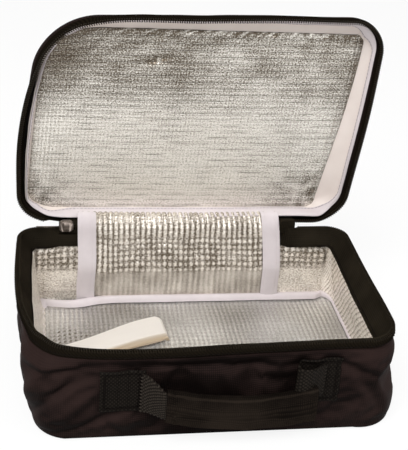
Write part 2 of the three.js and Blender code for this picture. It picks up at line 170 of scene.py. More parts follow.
# How the soft rim wanders, outwards and upwards; base and lid share it, so they still meet when closed
def rimShape(along):
    x = along - frontMiddle
    turn = along / around * 2 * math.pi
    leftMiddle = (cornerMarks[2] + cornerMarks[3]) / 2
    frontLeft = (cornerMarks[3] + cornerMarks[4]) / 2
    out = sum(size * np.sin(count * turn + phase) for size, count, phase in bagShape["wander"])
    spread = bagShape["swellSpread"]
    out = out + bagShape["leftSwell"] * bell(along, leftMiddle + bagShape["leftSwellShift"], spread)
    out = out + bagShape["rightSwell"] * bell(along, around - leftMiddle, spread)
    grows, fades = bagShape["riseSpan"]
    up = bagShape["rimRise"] * ramp(x, *grows) * ramp(x, *fades)
    up = up - bagShape["rimDip"] * bell(x, *bagShape["dipAt"])
    draw = bagShape["cornerDraw"] * bell(along, frontLeft + bagShape["drawShift"], bagShape["drawSpread"])
    return out, up, draw


def looseOutline(along, inset, rise, fade, part):
    corners = bagShape[part]
    lean = np.clip(1 - rise / bagShape["flareHeight"], 0, 1)
    front = bagShape["frontFlare"] * lean
    halfX = bodyHalfX + bagShape["sideFlare"] * lean - inset
    tightening = np.where(inset > 0, bagShape["tightening"], 1.0)
    rearRadius = np.maximum(corners["rear"] - tightening * inset, bagShape["leastCorner"])
    leftRadius = corners["frontLeft"] + bagShape["cornerGrow"][part] * ramp(rise, 0, bagShape["growDepth"])
    radius = np.where(along < frontMiddle, leftRadius, corners["frontRight"]) + front - inset
    spot, normal = outlineAt(along, halfX, bodyHalfY + front - inset, radius, rearRadius)
    slackX, slackY = bagShape["slackFrom"]
    spot[..., 1] += corners["slack"] * ramp(spot[..., 0], *slackX) * ramp(spot[..., 1], *slackY)
    middle = bell(spot[..., 1], *bagShape["leftOutAt"])
    spot[..., 0] -= corners["leftOut"] * middle * np.maximum(-normal[..., 0], 0)
    frontRight = ramp(spot[..., 1], *bagShape["rightInFrom"]) * np.maximum(normal[..., 0], 0)
    spot[..., 0] -= corners["rightIn"] * frontRight * (1 - ramp(rise, *bagShape["rightInFades"]))
    out, up, draw = rimShape(along)
    drawn = bagShape["drawShare"][part] * draw * (1 - ramp(rise, 0, bagShape["drawDepth"]))
    return spot + normal * (out * fade - drawn)[..., None], normal, up * fade


def sideShare(normal, amounts):
    return (
        np.maximum(-normal[..., 1], 0) * amounts["front"]
        + np.maximum(-normal[..., 0], 0) * amounts["left"]
        + np.maximum(normal[..., 0], 0) * amounts["right"]
        + np.maximum(normal[..., 1], 0) * amounts["rear"]
    )


def baseRing(along, inset, z):
    along, inset, z = np.broadcast_arrays(along, inset, z)
    fade = ramp(z, bagShape["softFrom"], teethZ)
    spot, normal, up = looseOutline(along, inset, teethZ - z, fade, "base")
    return np.concatenate([spot, (z + up)[..., None]], -1), normal


# A point of the closed lid, at height h above the lid's teeth, moved to where it is with the lid open
def lidPoint(x, y, h):
    x, y, h = np.broadcast_arrays(x, y, h)
    return np.stack([x + bagShape["lidRack"] * (hingeY - y), lidTeethY + h, hingeZ + hingeY - y], -1)


def lidRing(along, inset, h):
    along, inset, h = np.broadcast_arrays(along, inset, h)
    fade = 1 - ramp(h, 0, lidDepth)
    spot, normal, up = looseOutline(along, inset, h, fade, "lid")
    return lidPoint(spot[..., 0], spot[..., 1], h + up), normal


def steps(low, high, size):
    return np.linspace(low, high, max(2, int(round((high - low) / size)) + 1))


def noiseField(u, v, size, seed):
    u, v = np.broadcast_arrays(u, v)
    spots = zip(u.ravel() / size, v.ravel() / size)
    return np.array([noise.noise(Vector((a, b, seed))) for a, b in spots]).reshape(u.shape)


# Crumpled film: sharp ridges between shallow dents, at three sizes
def crumple(u, v, size, seed):
    total = 0
    for share, part in ((0.55, 1.0), (0.3, 0.47), (0.15, 0.22)):
        total = total + share * (1 - 3 * np.abs(noiseField(u, v, size * part, seed + part * 9)))
    return total


# A smooth line through a few [a, b] points, sampled at even steps; returns points, tangents and lengths
def smoothLine(knots, size):
    knots = np.array(knots, float)
    ends = np.concatenate([2 * knots[:1] - knots[1:2], knots, 2 * knots[-1:] - knots[-2:-1]])
    fine = []
    for k in range(len(knots) - 1):
        p0, p1, p2, p3 = ends[k : k + 4]
        t = np.linspace(0, 1, 24, endpoint=False)[:, None]
        curve = 2 * p1 + (p2 - p0) * t + (2 * p0 - 5 * p1 + 4 * p2 - p3) * t**2
        fine.append((curve + (3 * p1 - p0 - 3 * p2 + p3) * t**3) / 2)
    fine = np.concatenate(fine + [knots[-1:]])
    length = np.concatenate([[0], np.cumsum(np.linalg.norm(np.diff(fine, axis=0), axis=1))])
    even = steps(0, length[-1], size)
    line = np.stack([np.interp(even, length, fine[:, k]) for k in range(fine.shape[1])], 1)
    tangent = np.gradient(line, axis=0)
    return line, tangent / np.linalg.norm(tangent, axis=1, keepdims=True), even


def gridNormals(points, wrap):
    if wrap:
        across = np.roll(points, -1, 1) - np.roll(points, 1, 1)
    else:
        across = np.gradient(points, axis=1)
    normal = np.cross(across, np.gradient(points, axis=0))
    return normal / np.maximum(np.linalg.norm(normal, axis=2, keepdims=True), 1e-9)


def addObject(name, data):
    made = bpy.data.objects.new(name, data)
    bpy.context.scene.collection.objects.link(made)
    return made


def meshObject(name, points, faces, finish, flat=None, sharp=50, tone=None):
    mesh = bpy.data.meshes.new(name)
    mesh.from_pydata((np.asarray(points) * mm).tolist(), [], faces)
    if flat is not None:
        mesh.uv_layers.new(name="UVMap").data.foreach_set("uv", (flat * mm).ravel())
    if tone is not None:
        mesh.attributes.new("tone", "FLOAT", "POINT").data.foreach_set("value", np.ravel(tone))
    mesh.polygons.foreach_set("use_smooth", [True] * len(faces))
    mesh.set_sharp_from_angle(angle=math.radians(sharp))
    mesh.materials.append(finish)
    return addObject(name, mesh)


# A closed sheet of cloth or film: a grid of points is its face, and its back lies `thickness` behind
def clothMesh(name, points, flat, thickness, finish, wrap=False, flip=False, tone=None):
    rows, cols = points.shape[:2]
    normal = gridNormals(points, wrap) * (-1 if flip else 1)
    verts = np.concatenate([points.reshape(-1, 3), (points - normal * thickness).reshape(-1, 3)])
    if wrap and flat.shape[1] == cols:
        flat = np.concatenate([flat, 2 * flat[:, -1:] - flat[:, -2:-1]], 1)
    spans = cols if wrap else cols - 1
    index = np.arange(rows * cols).reshape(rows, cols)
    behind = index + rows * cols
    nextCol = (np.arange(spans) + 1) % cols
    quads = []
    uvs = []

    def addQuads(corners, spots):
        order = slice(None, None, -1) if flip else slice(None)
        quads.append(np.stack(corners, -1).reshape(-1, 4)[:, order])
        uvs.append(np.stack(spots, -2).reshape(-1, 4, 2)[:, order])

    a, b, c, d = (flat[:-1, :spans], flat[:-1, 1 : spans + 1], flat[1:, 1 : spans + 1], flat[1:, :spans])
    near = [index[:-1, :spans], index[:-1, nextCol], index[1:, nextCol], index[1:, :spans]]
    far = [corner + rows * cols for corner in near]
    addQuads(near, [a, b, c, d])
    addQuads(far[::-1], [d, c, b, a])
    addQuads([near[0][0], far[0][0], far[1][0], near[1][0]], [a[0], a[0], b[0], b[0]])
    addQuads([near[2][-1], far[2][-1], far[3][-1], near[3][-1]], [c[-1], c[-1], d[-1], d[-1]])
    if not wrap:
        leftEdge = [index[:-1, 0], index[1:, 0], behind[1:, 0], behind[:-1, 0]]
        addQuads(leftEdge, [a[:, 0], d[:, 0], d[:, 0], a[:, 0]])
        rightEdge = [index[1:, -1], index[:-1, -1], behind[:-1, -1], behind[1:, -1]]
        addQuads(rightEdge, [c[:, -1], b[:, -1], b[:, -1], c[:, -1]])
    if tone is not None:
        tone = np.concatenate([tone.ravel(), tone.ravel()])
    return meshObject(name, verts, np.concatenate(quads).tolist(), finish, np.concatenate(uvs), tone=tone)


# Soft cloth: a grid held at some points, cut too large and blown out from behind, so that it wrinkles
def wrinkle(points, held, wrap, look):
    rows, cols = points.shape[:2]
    index = np.arange(rows * cols).reshape(rows, cols)
    here, beside = (index, np.roll(index, -1, 1)) if wrap else (index[:, :-1], index[:, 1:])
    faces = np.stack([here[:-1], beside[:-1], beside[1:], here[1:]], -1).reshape(-1, 4)
    mesh = bpy.data.meshes.new("soft_cloth")
    mesh.from_pydata((points.reshape(-1, 3) * mm).tolist(), [], faces.tolist())
    cloth = addObject("soft_cloth", mesh)
    scene = bpy.context.scene
    cloth.vertex_groups.new(name="held").add(index[held].tolist(), 1.0, "REPLACE")
    modifier = cloth.modifiers.new("cloth", "CLOTH")
    modifier.point_cache.frame_end = look["frames"]
    settings = modifier.settings
    settings.vertex_group_mass = "held"
    settings.quality = look["quality"]
    settings.bending_stiffness = look["bending"]
    settings.shrink_min = -look["spare"]
    settings.use_pressure = True
    settings.uniform_pressure_force = look["pressure"]
    settings.effector_weights.gravity = 0
    for number in range(1, look["frames"] + 1):
        scene.frame_set(number)
    made = cloth.evaluated_get(bpy.context.evaluated_depsgraph_get()).data
    moved = np.empty(rows * cols * 3)
    made.vertices.foreach_get("co", moved)
    move = moved.reshape(points.shape) / mm - points
    far = np.linalg.norm(move, axis=2, keepdims=True)
    bpy.data.objects.remove(cloth)
    scene.frame_set(1)
    return move * np.minimum(1, look["cap"] / np.maximum(far, 1e-6))


def flatGrid(u, v):
    u, v = np.broadcast_arrays(u, v)
    return np.stack([u, v], -1)


# Rows across a rounded panel, each as wide as the outline is there
def panelGrid(left, right, low, high, radius, size):
    y = steps(low, high, size)[:, None]
    trim = roundOff(radius, np.maximum(radius - toEdge(y, low, high), 0))
    share = steps(0, right - left, size)[None, :] / (right - left)
    x = between(left + trim, right - trim, share)
    return x, np.broadcast_to(y, x.shape)


def label(nodes):
    if nodes:
        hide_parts(*nodes)


def settle(piece, body, slot, *nodes):
    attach(piece, body)
    label(nodes)


# A soft piece that runs from one body to another over a fold: its frame nodes are hidden and its transform
# baked, with no parent
def settleBetween(piece, bodies, fold, slot, *nodes):
    label(nodes)
    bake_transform(piece)


# Nodes


def addNode(tree, kind, inputs=None, **settings):
    node = tree.nodes.new(kind)
    for name, value in settings.items():
        setattr(node, name, value)
    for name, value in (inputs or {}).items():
        if isinstance(value, bpy.types.NodeSocket):
            tree.links.new(value, node.inputs[name])
        else:
            node.inputs[name].default_value = value
    return node


# Repeats one small unit along a line: the unit's X follows the line and its Z points out
def buildRepeatTree():
    tree = bpy.data.node_groups.new("repeatAlong", "GeometryNodeTree")
    face = tree.interface
    for name, kind in (
        ("Line", "NodeSocketGeometry"),
        ("Pitch", "NodeSocketFloat"),
        ("Unit", "NodeSocketObject"),
        ("Finish", "NodeSocketMaterial"),
    ):
        face.new_socket(name, in_out="INPUT", socket_type=kind)
    face.new_socket("Geometry", in_out="OUTPUT", socket_type="NodeSocketGeometry")
    given = addNode(tree, "NodeGroupInput").outputs
    curve = addNode(tree, "GeometryNodeMeshToCurve", {"Mesh": given["Line"]})
    pitched = {"Curve": curve.outputs[0], "Length": given["Pitch"]}
    even = addNode(tree, "GeometryNodeResampleCurve", pitched, mode="LENGTH")
    tangent = addNode(tree, "GeometryNodeInputTangent")
    out = addNode(tree, "GeometryNodeInputNamedAttribute", {"Name": "out"}, data_type="FLOAT_VECTOR")
    forward = addNode(tree, "FunctionNodeAlignRotationToVector", {"Vector": tangent.outputs[0]}, axis="X")
    outward = {"Rotation": forward.outputs[0], "Vector": out.outputs[0]}
    rolled = addNode(tree, "FunctionNodeAlignRotationToVector", outward, axis="Z", pivot_axis="X")
    unit = addNode(tree, "GeometryNodeObjectInfo", {"Object": given["Unit"]})
    placed = {"Points": even.outputs[0], "Instance": unit.outputs["Geometry"], "Rotation": rolled.outputs[0]}
    copies = addNode(tree, "GeometryNodeInstanceOnPoints", placed)
    real = addNode(tree, "GeometryNodeRealizeInstances", {"Geometry": copies.outputs[0]})
    finished = {"Geometry": real.outputs[0], "Material": given["Finish"]}
    done = addNode(tree, "GeometryNodeSetMaterial", finished)
    addNode(tree, "NodeGroupOutput", {"Geometry": done.outputs[0]})
    return tree


repeatTree = buildRepeatTree()


def repeatAlong(name, lines, unit, pitch, finish, closed=False):
    points, outs, edges = [], [], []
    for line, out in lines:
        start = len(points)
        points += (np.asarray(line) * mm).tolist()
        outs += np.broadcast_to(out, np.shape(line)).tolist()
        edges += [(k, k + 1) for k in range(start, len(points) - 1)]
        if closed:
            edges.append((len(points) - 1, start))
    mesh = bpy.data.meshes.new(name + "_line")
    mesh.from_pydata(points, edges, [])
    mesh.attributes.new("out", "FLOAT_VECTOR", "POINT").data.foreach_set("vector", np.ravel(outs))
    piece = addObject(name, mesh)
    modifier = piece.modifiers.new("repeat", "NODES")
    modifier.node_group = repeatTree
    items = repeatTree.interface.items_tree
    given = {item.name: item.identifier for item in items if item.in_out == "INPUT"}
    modifier[given["Pitch"]] = pitch * mm
    modifier[given["Unit"]] = unit
    modifier[given["Finish"]] = finish
    bpy.context.view_layer.update()
    made = bpy.data.meshes.new_from_object(piece.evaluated_get(bpy.context.evaluated_depsgraph_get()))
    piece.modifiers.clear()
    piece.data = made
    made.name = name
    if not made.materials:
        made.materials.append(finish)
    made.polygons.foreach_set("use_smooth", [True] * len(made.polygons))
    return piece


# A bent wire with closed ends, hidden, to be repeated
def tubeUnit(name, path, radius, count=6):
    path = np.array(path, float)
    tangent = np.gradient(path, axis=0)
    tangent /= np.linalg.norm(tangent, axis=1, keepdims=True)
    side = np.cross(tangent, np.eye(3)[np.argmin(np.ptp(path, axis=0))])
    side /= np.linalg.norm(side, axis=1, keepdims=True)
    third = np.cross(tangent, side)
    turn = np.linspace(0, 2 * math.pi, count, endpoint=False)[None, :, None]
    rings = path[:, None] + radius * (np.cos(turn) * side[:, None] + np.sin(turn) * third[:, None])
    faces = []
    for k in range(len(path) - 1):
        for j in range(count):
            n = (j + 1) % count
            faces.append((k * count + j, k * count + n, (k + 1) * count + n, (k + 1) * count + j))
    faces.append(tuple(range(count))[::-1])
    faces.append(tuple(range((len(path) - 1) * count, len(path) * count)))
    unit = meshObject(name, rings.reshape(-1, 3), faces, None)
    unit.hide_render = True
    return unit


# Materials


def toLinear(hexColour):
    parts = [int(hexColour[k : k + 2], 16) / 255 for k in (1, 3, 5)]
    return [p / 12.92 if p <= 0.04045 else ((p + 0.055) / 1.055) ** 2.4 for p in parts] + [1.0]


def startMaterial(name, colour, roughness, sockets=None):
    material = bpy.data.materials.new(name)
    material.use_nodes = True
    material.diffuse_color = toLinear(colour)
    tree = material.node_tree
    given = {"Base Color": toLinear(colour), "Roughness": roughness, **(sockets or {})}
    for socket, value in given.items():
        tree.nodes["Principled BSDF"].inputs[socket].default_value = value
    return material, tree


# Blender's wave bands repeat every 2 pi / 20 at scale 1
def bandScale(period):
    return 2 * math.pi / 20 / (period * mm)


def coordinate(tree, kind):
    return addNode(tree, "ShaderNodeTexCoord").outputs[kind]


def attribute(tree, name):
    return addNode(tree, "ShaderNodeAttribute", attribute_name=name).outputs["Fac"]


def calculate(tree, operation, *values, clamp=False):
    node = addNode(tree, "ShaderNodeMath", dict(enumerate(values)), operation=operation, use_clamp=clamp)
    return node.outputs[0]


def bands(tree, spot, period, direction, **inputs):
    given = {"Vector": spot, "Scale": bandScale(period), **inputs}
    return addNode(tree, "ShaderNodeTexWave", given, bands_direction=direction).outputs["Fac"]


def grain(tree, spot, size, detail, **inputs):
    given = {"Vector": spot, "Scale": 1 / (size * mm), "Detail": detail, **inputs}
    return addNode(tree, "ShaderNodeTexNoise", given).outputs["Fac"]


def stretch(tree, value, low, high, toLow=0.0, toHigh=1.0):
    given = {"Value": value, "From Min": low, "From Max": high, "To Min": toLow, "To Max": toHigh}
    return addNode(tree, "ShaderNodeMapRange", given).outputs["Result"]


# Each colour is a hex code or a socket
def mixColour(tree, factor, *colours):
    given = {key: toLinear(c) if isinstance(c, str) else c for key, c in zip("AB", colours)}
    return addNode(tree, "ShaderNodeMix", {"Factor": factor, **given}, data_type="RGBA").outputs["Result"]


def tint(tree, factor, dark, light):
    shader = tree.nodes["Principled BSDF"]
    tree.links.new(mixColour(tree, factor, dark, light), shader.inputs["Base Color"])


def bumpBy(tree, height, strength, depth):
    shader = tree.nodes["Principled BSDF"]
    bump = addNode(tree, "ShaderNodeBump", {"Height": height, "Strength": strength, "Distance": depth * mm})
    tree.links.new(bump.outputs["Normal"], shader.inputs["Normal"])


# Plain-weave polyester: near-black threads with a faint sheen where the cloth turns away
def wovenPolyester(name, look):
    threadPitch = 1.3  # about three times the real thread, so that it shows
    patchSize = 30
    sheen = {"Sheen Weight": 0.015, "Sheen Roughness": 0.4, "Sheen Tint": toLinear("#a58a84")}
    material, tree = startMaterial(name, look["dark"], 0.6, {**sheen, "Specular IOR Level": look["gloss"]})
    flat = coordinate(tree, "UV")
    warp, weft = (bands(tree, flat, threadPitch, direction) for direction in "XY")
    weave = calculate(tree, "MULTIPLY", warp, weft)
    patch = grain(tree, coordinate(tree, "Object"), patchSize, 5.0)
    shade = calculate(tree, "MULTIPLY_ADD", weave, 0.45, patch)
    # tone adds the painted shade and highlights carried by the mesh
    shade = calculate(tree, "ADD", shade, attribute(tree, "tone"))
    tint(tree, stretch(tree, shade, 0.35, 0.9), look["dark"], look["light"])
    bumpBy(tree, weave, 0.45, 0.3)
    return material


# Polypropylene webbing: black, with painted highlights where a yarn passes over and painted shade between the
# yarns, as tone says
def webbingYarn():
    fibre = 0.5
    material, tree = startMaterial("polypropylene_webbing", "#100d0b", 0.45, {"Specular IOR Level": 0.02})
    strands = bands(tree, coordinate(tree, "UV"), fibre, "DIAGONAL", Distortion=1.5)
    tint(tree, attribute(tree, "tone"), "#080605", "#3b352f")
    bumpBy(tree, strands, 0.2, 0.1)
    return material


# Metallised film pressed on a woven scrim: warm silver with a fine grid, painted darker where tone is high as
# its dark reflections and shade, with rows of small dark dashes that paint dark reflections
def metallisedFilm(name, look):
    material, tree = startMaterial(name, look["silver"], 0.25, {"Metallic": look["metal"]})
    flat = coordinate(tree, "UV")
    tone = attribute(tree, "tone")
    uneven = {"Distortion": 0.8, "Detail": 1.0, "Detail Scale": 0.4}
    columns = bands(tree, flat, look["across"], "X", **uneven)
    rows = bands(tree, flat, look["up"], "Y", **uneven)
    everyOther = bands(tree, flat, look["up"] * 2, "Y", **uneven)
    faintLine = stretch(tree, rows, 0.92, 1.0, toHigh=0.5)
    strongLine = stretch(tree, everyOther, 0.965, 1.0)
    line = calculate(tree, "MAXIMUM", faintLine, strongLine)
    lengthwise = addNode(tree, "ShaderNodeMapping", {"Vector": flat, "Scale": (0.16, 1.0, 1.0)}).outputs[0]
    dashShade = calculate(tree, "MULTIPLY_ADD", tone, 0.28, grain(tree, lengthwise, 3.2, 2.0))
    dash = calculate(tree, "MULTIPLY", line, stretch(tree, dashShade, 0.42, 0.62, toHigh=look["dashes"]))
    fleck = grain(tree, flat, look["fleck"], 3.0, Roughness=0.6)
    lively = calculate(tree, "SUBTRACT", 1.0, attribute(tree, "calm"))
    # the speckle paints glints and dark flecks on the film
    speckle = stretch(tree, fleck, 0.32, 0.68, -look["sparkle"], look["sparkle"])
    speckle = calculate(tree, "MULTIPLY", speckle, lively)
    grid = calculate(tree, "MULTIPLY", columns, rows)
    shadeAndGrid = calculate(tree, "MULTIPLY_ADD", grid, look["grid"], tone)
    shadeAndGrid = calculate(tree, "ADD", shadeAndGrid, speckle, clamp=True)
    tint(tree, dash, mixColour(tree, shadeAndGrid, look["silver"], look["shadeAndGrid"]), "#352d25")
    height = calculate(tree, "MULTIPLY_ADD", rows, 0.7, columns)
    height = calculate(tree, "MULTIPLY_ADD", fleck, 1.2, height)
    bumpBy(tree, height, look["relief"], 0.4)
    return material


# Knitted elastic: cream white, soft, with fine ribs along its length, painted tan as shade where tone is high
def knittedElastic():
    rib = 1.5
    material, tree = startMaterial("knitted_elastic", "#efe9e2", 0.85, {"Sheen Weight": 0.15})
    flat = coordinate(tree, "UV")
    knit = calculate(tree, "MULTIPLY", bands(tree, flat, rib, "Y"), bands(tree, flat, rib * 0.7, "X"))
    litShare = calculate(tree, "SUBTRACT", 0.8, attribute(tree, "tone"))
    litShare = calculate(tree, "MULTIPLY_ADD", knit, 0.2, litShare, clamp=True)
    tint(tree, litShare, "#b09c80", "#e0dbd5")
    bumpBy(tree, knit, 0.2, 0.2)
    return material


# A material with one pattern for its tint and one for its relief. A pattern is a function, the coordinates
# it lies on, its size in mm, and the direction of its bands or the detail of its grain
def patterned(name, base, roughness, tinted, relief=None, sockets=None):
    material, tree = startMaterial(name, base, roughness, sockets)
    (make, place, size, extra), dark, light = tinted
    tint(tree, make(tree, coordinate(tree, place), size, extra), dark, light)
    if relief:
        (make, place, size, extra), strength, depth = relief
        bumpBy(tree, make(tree, coordinate(tree, place), size, extra), strength, depth)
    return material


# Twisted polyester sewing thread
def sewingThread(name, dark, light):
    ply = (bands, "Object", 0.6, "DIAGONAL")
    return patterned(name, light, 0.6, (ply, dark, light), sockets={"Specular IOR Level": 0.02})


polyester = wovenPolyester("woven_polyester", {"dark": "#0c0807", "light": "#2a1f1d", "gloss": 0.02})
facingCloth = wovenPolyester("woven_polyester_facing", {"dark": "#17140f", "light": "#2d2820", "gloss": 0.0})
sleeveCloth = wovenPolyester("woven_polyester_sleeve", {"dark": "#0f0c0a", "light": "#27211c", "gloss": 0.0})
webbing = webbingYarn()
# Polyester zip tape: black-olive, ribbed across like herringbone
zipRibs = (bands, "UV", 1.2, "DIAGONAL")
zipTint = (zipRibs, "#0e0b08", "#1b1711")
matt = {"Specular IOR Level": 0.0}
zipCloth = patterned("polyester_zip_tape", "#12100b", 0.6, zipTint, (zipRibs, 0.25, 0.15), matt)
# Coiled nylon teeth: dark and slightly shiny, so each loop catches a small tan light
nylonTint = ((grain, "Object", 6, 2.0), "#100d09", "#2a2319")
nylon = patterned("coiled_nylon", "#3b3122", 0.3, nylonTint, sockets={"Specular IOR Level": 0.05})
filmLook = {"silver": "#ece6dc", "shadeAndGrid": "#625647", "fleck": 1.25, "relief": 0.5, "metal": 0.6}
lidLook = {"silver": "#fbf7ee", "fleck": 1.1, "across": 2.9, "up": 2.5, "dashes": 1.0, "grid": 0.22}
lidFilm = metallisedFilm("metallised_film_lid", {**filmLook, **lidLook, "sparkle": 0.55})
wallLook = {"silver": "#fdf5ea", "metal": 0.4, "across": 4.2, "up": 4.6, "dashes": 0.0, "grid": 0.0}
wallFilm = metallisedFilm("metallised_film_wall", {**filmLook, **wallLook, "sparkle": 0.45})
floorLook = {"silver": "#f0efec", "shadeAndGrid": "#675e54", "across": 3.7, "up": 4.6, "dashes": 0.1, "grid": 0.12}
floorFilm = metallisedFilm("metallised_film_floor", {**filmLook, **floorLook, "sparkle": 0.2})
# Woven binding tape: lavender white, matt, with fine ribs along it
tapeTint = ((grain, "Object", 20, 4.0), "#c2b8ba", "#dad2d4")
binding = patterned("woven_binding_tape", "#dcd3d6", 0.8, tapeTint, ((bands, "UV", 1.2, "Y"), 0.12, 0.15))
# White polyethylene film: smooth, faintly warm, a soft gloss
filmPatch = (grain, "Object", 18, 4.0)
filmTint = (filmPatch, "#d3c6bf", "#e4dad4")
whiteLiner = patterned("white_polyethylene_film", "#dccfc8", 0.42, filmTint, (filmPatch, 0.2, 1.2))
elasticKnit = knittedElastic()
# Die-cast zinc with dark enamel: smooth, worn lighter in places
wearTint = ((grain, "Object", 2.2, 5.0), "#4c443f", "#857a72")
zinc = patterned("enamelled_zinc", "#4a423e", 0.36, wearTint, sockets={"Metallic": 0.75})
blackThread = sewingThread("black_sewing_thread", "#0d0a09", "#1c1715")
whiteThread = sewingThread("white_sewing_thread", "#b9afb2", "#d6ced1")
# a grey thread, darker than the binding, so that its seam also stands in for the shadow line along the lid
# binding's inner edge
seamShadowThread = sewingThread("grey_sewing_thread", "#8d8488", "#b3a9ad")
print("materials ready")

# One stitch, and one tooth as a loop of the coil
unitShape = {
    "stitch": [(-1.1, 0, -0.2), (-0.8, 0, 0.15), (0, 0, 0.28), (0.8, 0, 0.15), (1.1, 0, -0.2)],
    "thread": 0.26,
    "tooth": (0.3, 0.9, 1.2),
    "toothTurn": (-30, 210),
    "toothWire": 0.42,
}
stitchUnit = tubeUnit("stitch_unit", unitShape["stitch"], unitShape["thread"])
toothTurn = np.radians(np.linspace(*unitShape["toothTurn"], 8))
toothPath = np.stack([np.cos(toothTurn), np.sin(toothTurn), np.cos(toothTurn)], 1) * unitShape["tooth"]
toothUnit = tubeUnit("tooth_unit", toothPath, unitShape["toothWire"])


def sew(name, lines, pitch, thread, body, slot, closed=False):
    settle(repeatAlong(name, lines, stitchUnit, pitch, thread, closed), body, slot)


# Base walls and underside
wallShape = {
    "step": 2.0,
    "roll": 1.8,  # radius where the wall turns under
    "underLap": 5.0,
    "bulge": {"front": 1.0, "left": 2.5, "right": 1.6, "rear": 0.5},
    "footLean": {"front": 1.6, "left": -6.0, "right": 6.5, "rear": -0.5},  # the soft box leans to the right
    "fabric": 1.2,
    "hem": 1.7,  # how deep and how high the wall draws in below the zip
    "shoulder": 3.0,  # the front right corner stands out just below the zip
    "shoulderHeight": (53, 10),
    "shoulderWidth": 26.0,
    "hingePad": 1.4,  # the wall is thicker behind the hinge
    "foldDepth": 1.3,
    "ripple": 1.0,
    "rippleSize": 23.0,
    "frontShade": 0.3,  # the middle of the front is painted darker, as shade behind the handle
    "shadeWidth": 66.0,
    "clothStep": 2.6,
    "clothLow": 5.0,
    "cloth": {"frames": 18, "quality": 5, "bending": 3.0, "spare": 0.035, "pressure": 1.5, "cap": 3.0},
}
wallTop = seamZ + 3.8  # it ends behind the zip tape
rearReach = hingeHalf + 10
wallPuff = None  # how far the simulated cloth stands out, filled in below
# Creases pressed in the cloth: place from a mark, height, lean in degrees, length, width and depth
frontFolds = [
    (-122, 40, 62, 22, 4.5, 1.9),
    (-112, 30, 48, 24, 3.6, -2.2),
    (-103, 40, 28, 20, 3.2, -1.6),
    (-98, 24, 40, 26, 5.0, 1.9),
    (-88, 12, 24, 26, 4.0, -1.7),
    (-66, 14, 8, 24, 4.5, 1.3),
    (-140, 22, 70, 26, 5.0, -1.6),
    (-104, 54, 8, 24, 2.6, -1.4),
    (5, 56, -2, 60, 3.0, -1.5),
    (0, 46, 3, 55, 5.0, 0.9),
    (92, 50, -22, 20, 3.4, -1.3),
    (106, 34, -58, 26, 5.0, -1.5),
    (118, 20, -72, 22, 4.5, 1.4),
    (40, 11, 4, 40, 4.0, -1.0),
]
leftFolds = [(-30, 32, 60, 26, 5.0, -1.4), (-60, 24, 80, 24, 6.0, 1.2)]
rightFolds = [(-50, 30, -70, 26, 6.0, -1.3), (-84, 26, -84, 26, 5.0, 1.2)]
rearFolds = [(60, 26, 25, 34, 5.0, -1.0), (around - 50, 30, -30, 34, 5.0, -1.0)]
foldMarks = (frontMiddle, cornerMarks[3], cornerMarks[7], 0)
foldSets = zip(foldMarks, (frontFolds, leftFolds, rightFolds, rearFolds))
wallFolds = [(mark + fold[0], *fold[1:]) for mark, folds in foldSets for fold in folds]


def foldsAt(along, z, folds):
    total = 0
    for at, height, lean, length, width, depth in folds:
        angle = math.radians(lean)
        u, v = along - at, z - height
        alongFold = u * math.cos(angle) + v * math.sin(angle)
        acrossFold = -u * math.sin(angle) + v * math.cos(angle)
        total = total + depth * bell(alongFold, 0, length) * bell(acrossFold, 0, width)
    return total


# The outer cloth's face at a place along the outline and a height
def wallFace(along, z):
    along, z = np.broadcast_arrays(along, z)
    spot, normal = baseRing(along, 0.0, z)
    share = np.clip(z / seamZ, 0, 1)
    out = sideShare(normal, wallShape["bulge"]) * np.sin(math.pi * share**0.9)
    out = out + sideShare(normal, wallShape["footLean"]) * (1 - share)
    out = out - roundOff(wallShape["roll"], np.maximum(wallShape["roll"] - z, 0))
    below = wallTop - z
    quiet = ramp(z, 1, 9) * ramp(below, 0, 4)
    out = out + quiet * wallShape["foldDepth"] * foldsAt(along, z, wallFolds)
    if wallPuff is not None:
        out = out + puffAt(along, z)
    out = out + quiet * wallShape["ripple"] * noiseField(along, z * 1.4, wallShape["rippleSize"], 4.2)
    out = out - wallShape["hem"] * bell(below, 0, wallShape["hem"])
    rightCorner = bell(along, cornerMarks[5] + bend / 2, wallShape["shoulderWidth"]) * ramp(below, 0, 5)
    out = out + wallShape["shoulder"] * rightCorner * bell(z, *wallShape["shoulderHeight"])
    byHinge = 1 - ramp(fromHinge(along), rearReach, rearReach + 20)
    out = out + wallShape["hingePad"] * byHinge * ramp(z, 25, 50)
    spot = spot.copy()
    spot[..., :2] += normal * out[..., None]
    return spot, normal


def clothRows():
    return steps(wallShape["clothLow"], seamZ - 1, wallShape["clothStep"])


def clothColumns():
    return steps(0, around, wallShape["clothStep"])[:-1]


# Reads the simulated wall between its points
def puffAt(along, z):
    heights, places = clothRows(), clothColumns()
    a = np.mod(along, around) / (places[1] - places[0])
    b = np.clip((z - heights[0]) / (heights[1] - heights[0]), 0, len(heights) - 1.001)
    i, j = np.floor(a).astype(int) % len(places), np.floor(b).astype(int)
    f, g = a - np.floor(a), b - j
    n = (i + 1) % len(places)
    lower = wallPuff[j, i] * (1 - f) + wallPuff[j, n] * f
    upper = wallPuff[j + 1, i] * (1 - f) + wallPuff[j + 1, n] * f
    return (lower * (1 - g) + upper * g) * ramp(z, 0, wallShape["clothLow"])


# The cloth is held at the zip, near the floor and where the webbing is sewn on
def simulateWall():
    heights, places = clothRows()[:, None], clothColumns()[None, :]
    points, normal = wallFace(places, heights)
    held = np.zeros(points.shape[:2], bool)
    held[[0, -1]] = True
    held |= (fromHinge(places) < rearReach + 12) & (heights > 25)
    for side in ("left", "right"):
        low, high = sides("handle_anchor_" + side)
        x = places - frontMiddle
        held |= (x > low[0]) & (x < high[0]) & (heights > low[2]) & (heights < high[2])
    move = wrinkle(points, held, True, wallShape["cloth"])
    return np.sum(move[..., :2] * normal, -1)


# Tone for dark cloth: painted shade, paler where it faces up and darker where it faces down under a fold
def slopeShade(points, wrap):
    facing = gridNormals(points, wrap)[..., 2]
    return np.clip(0.6 * (facing - np.median(facing)), -0.3, 0.3)


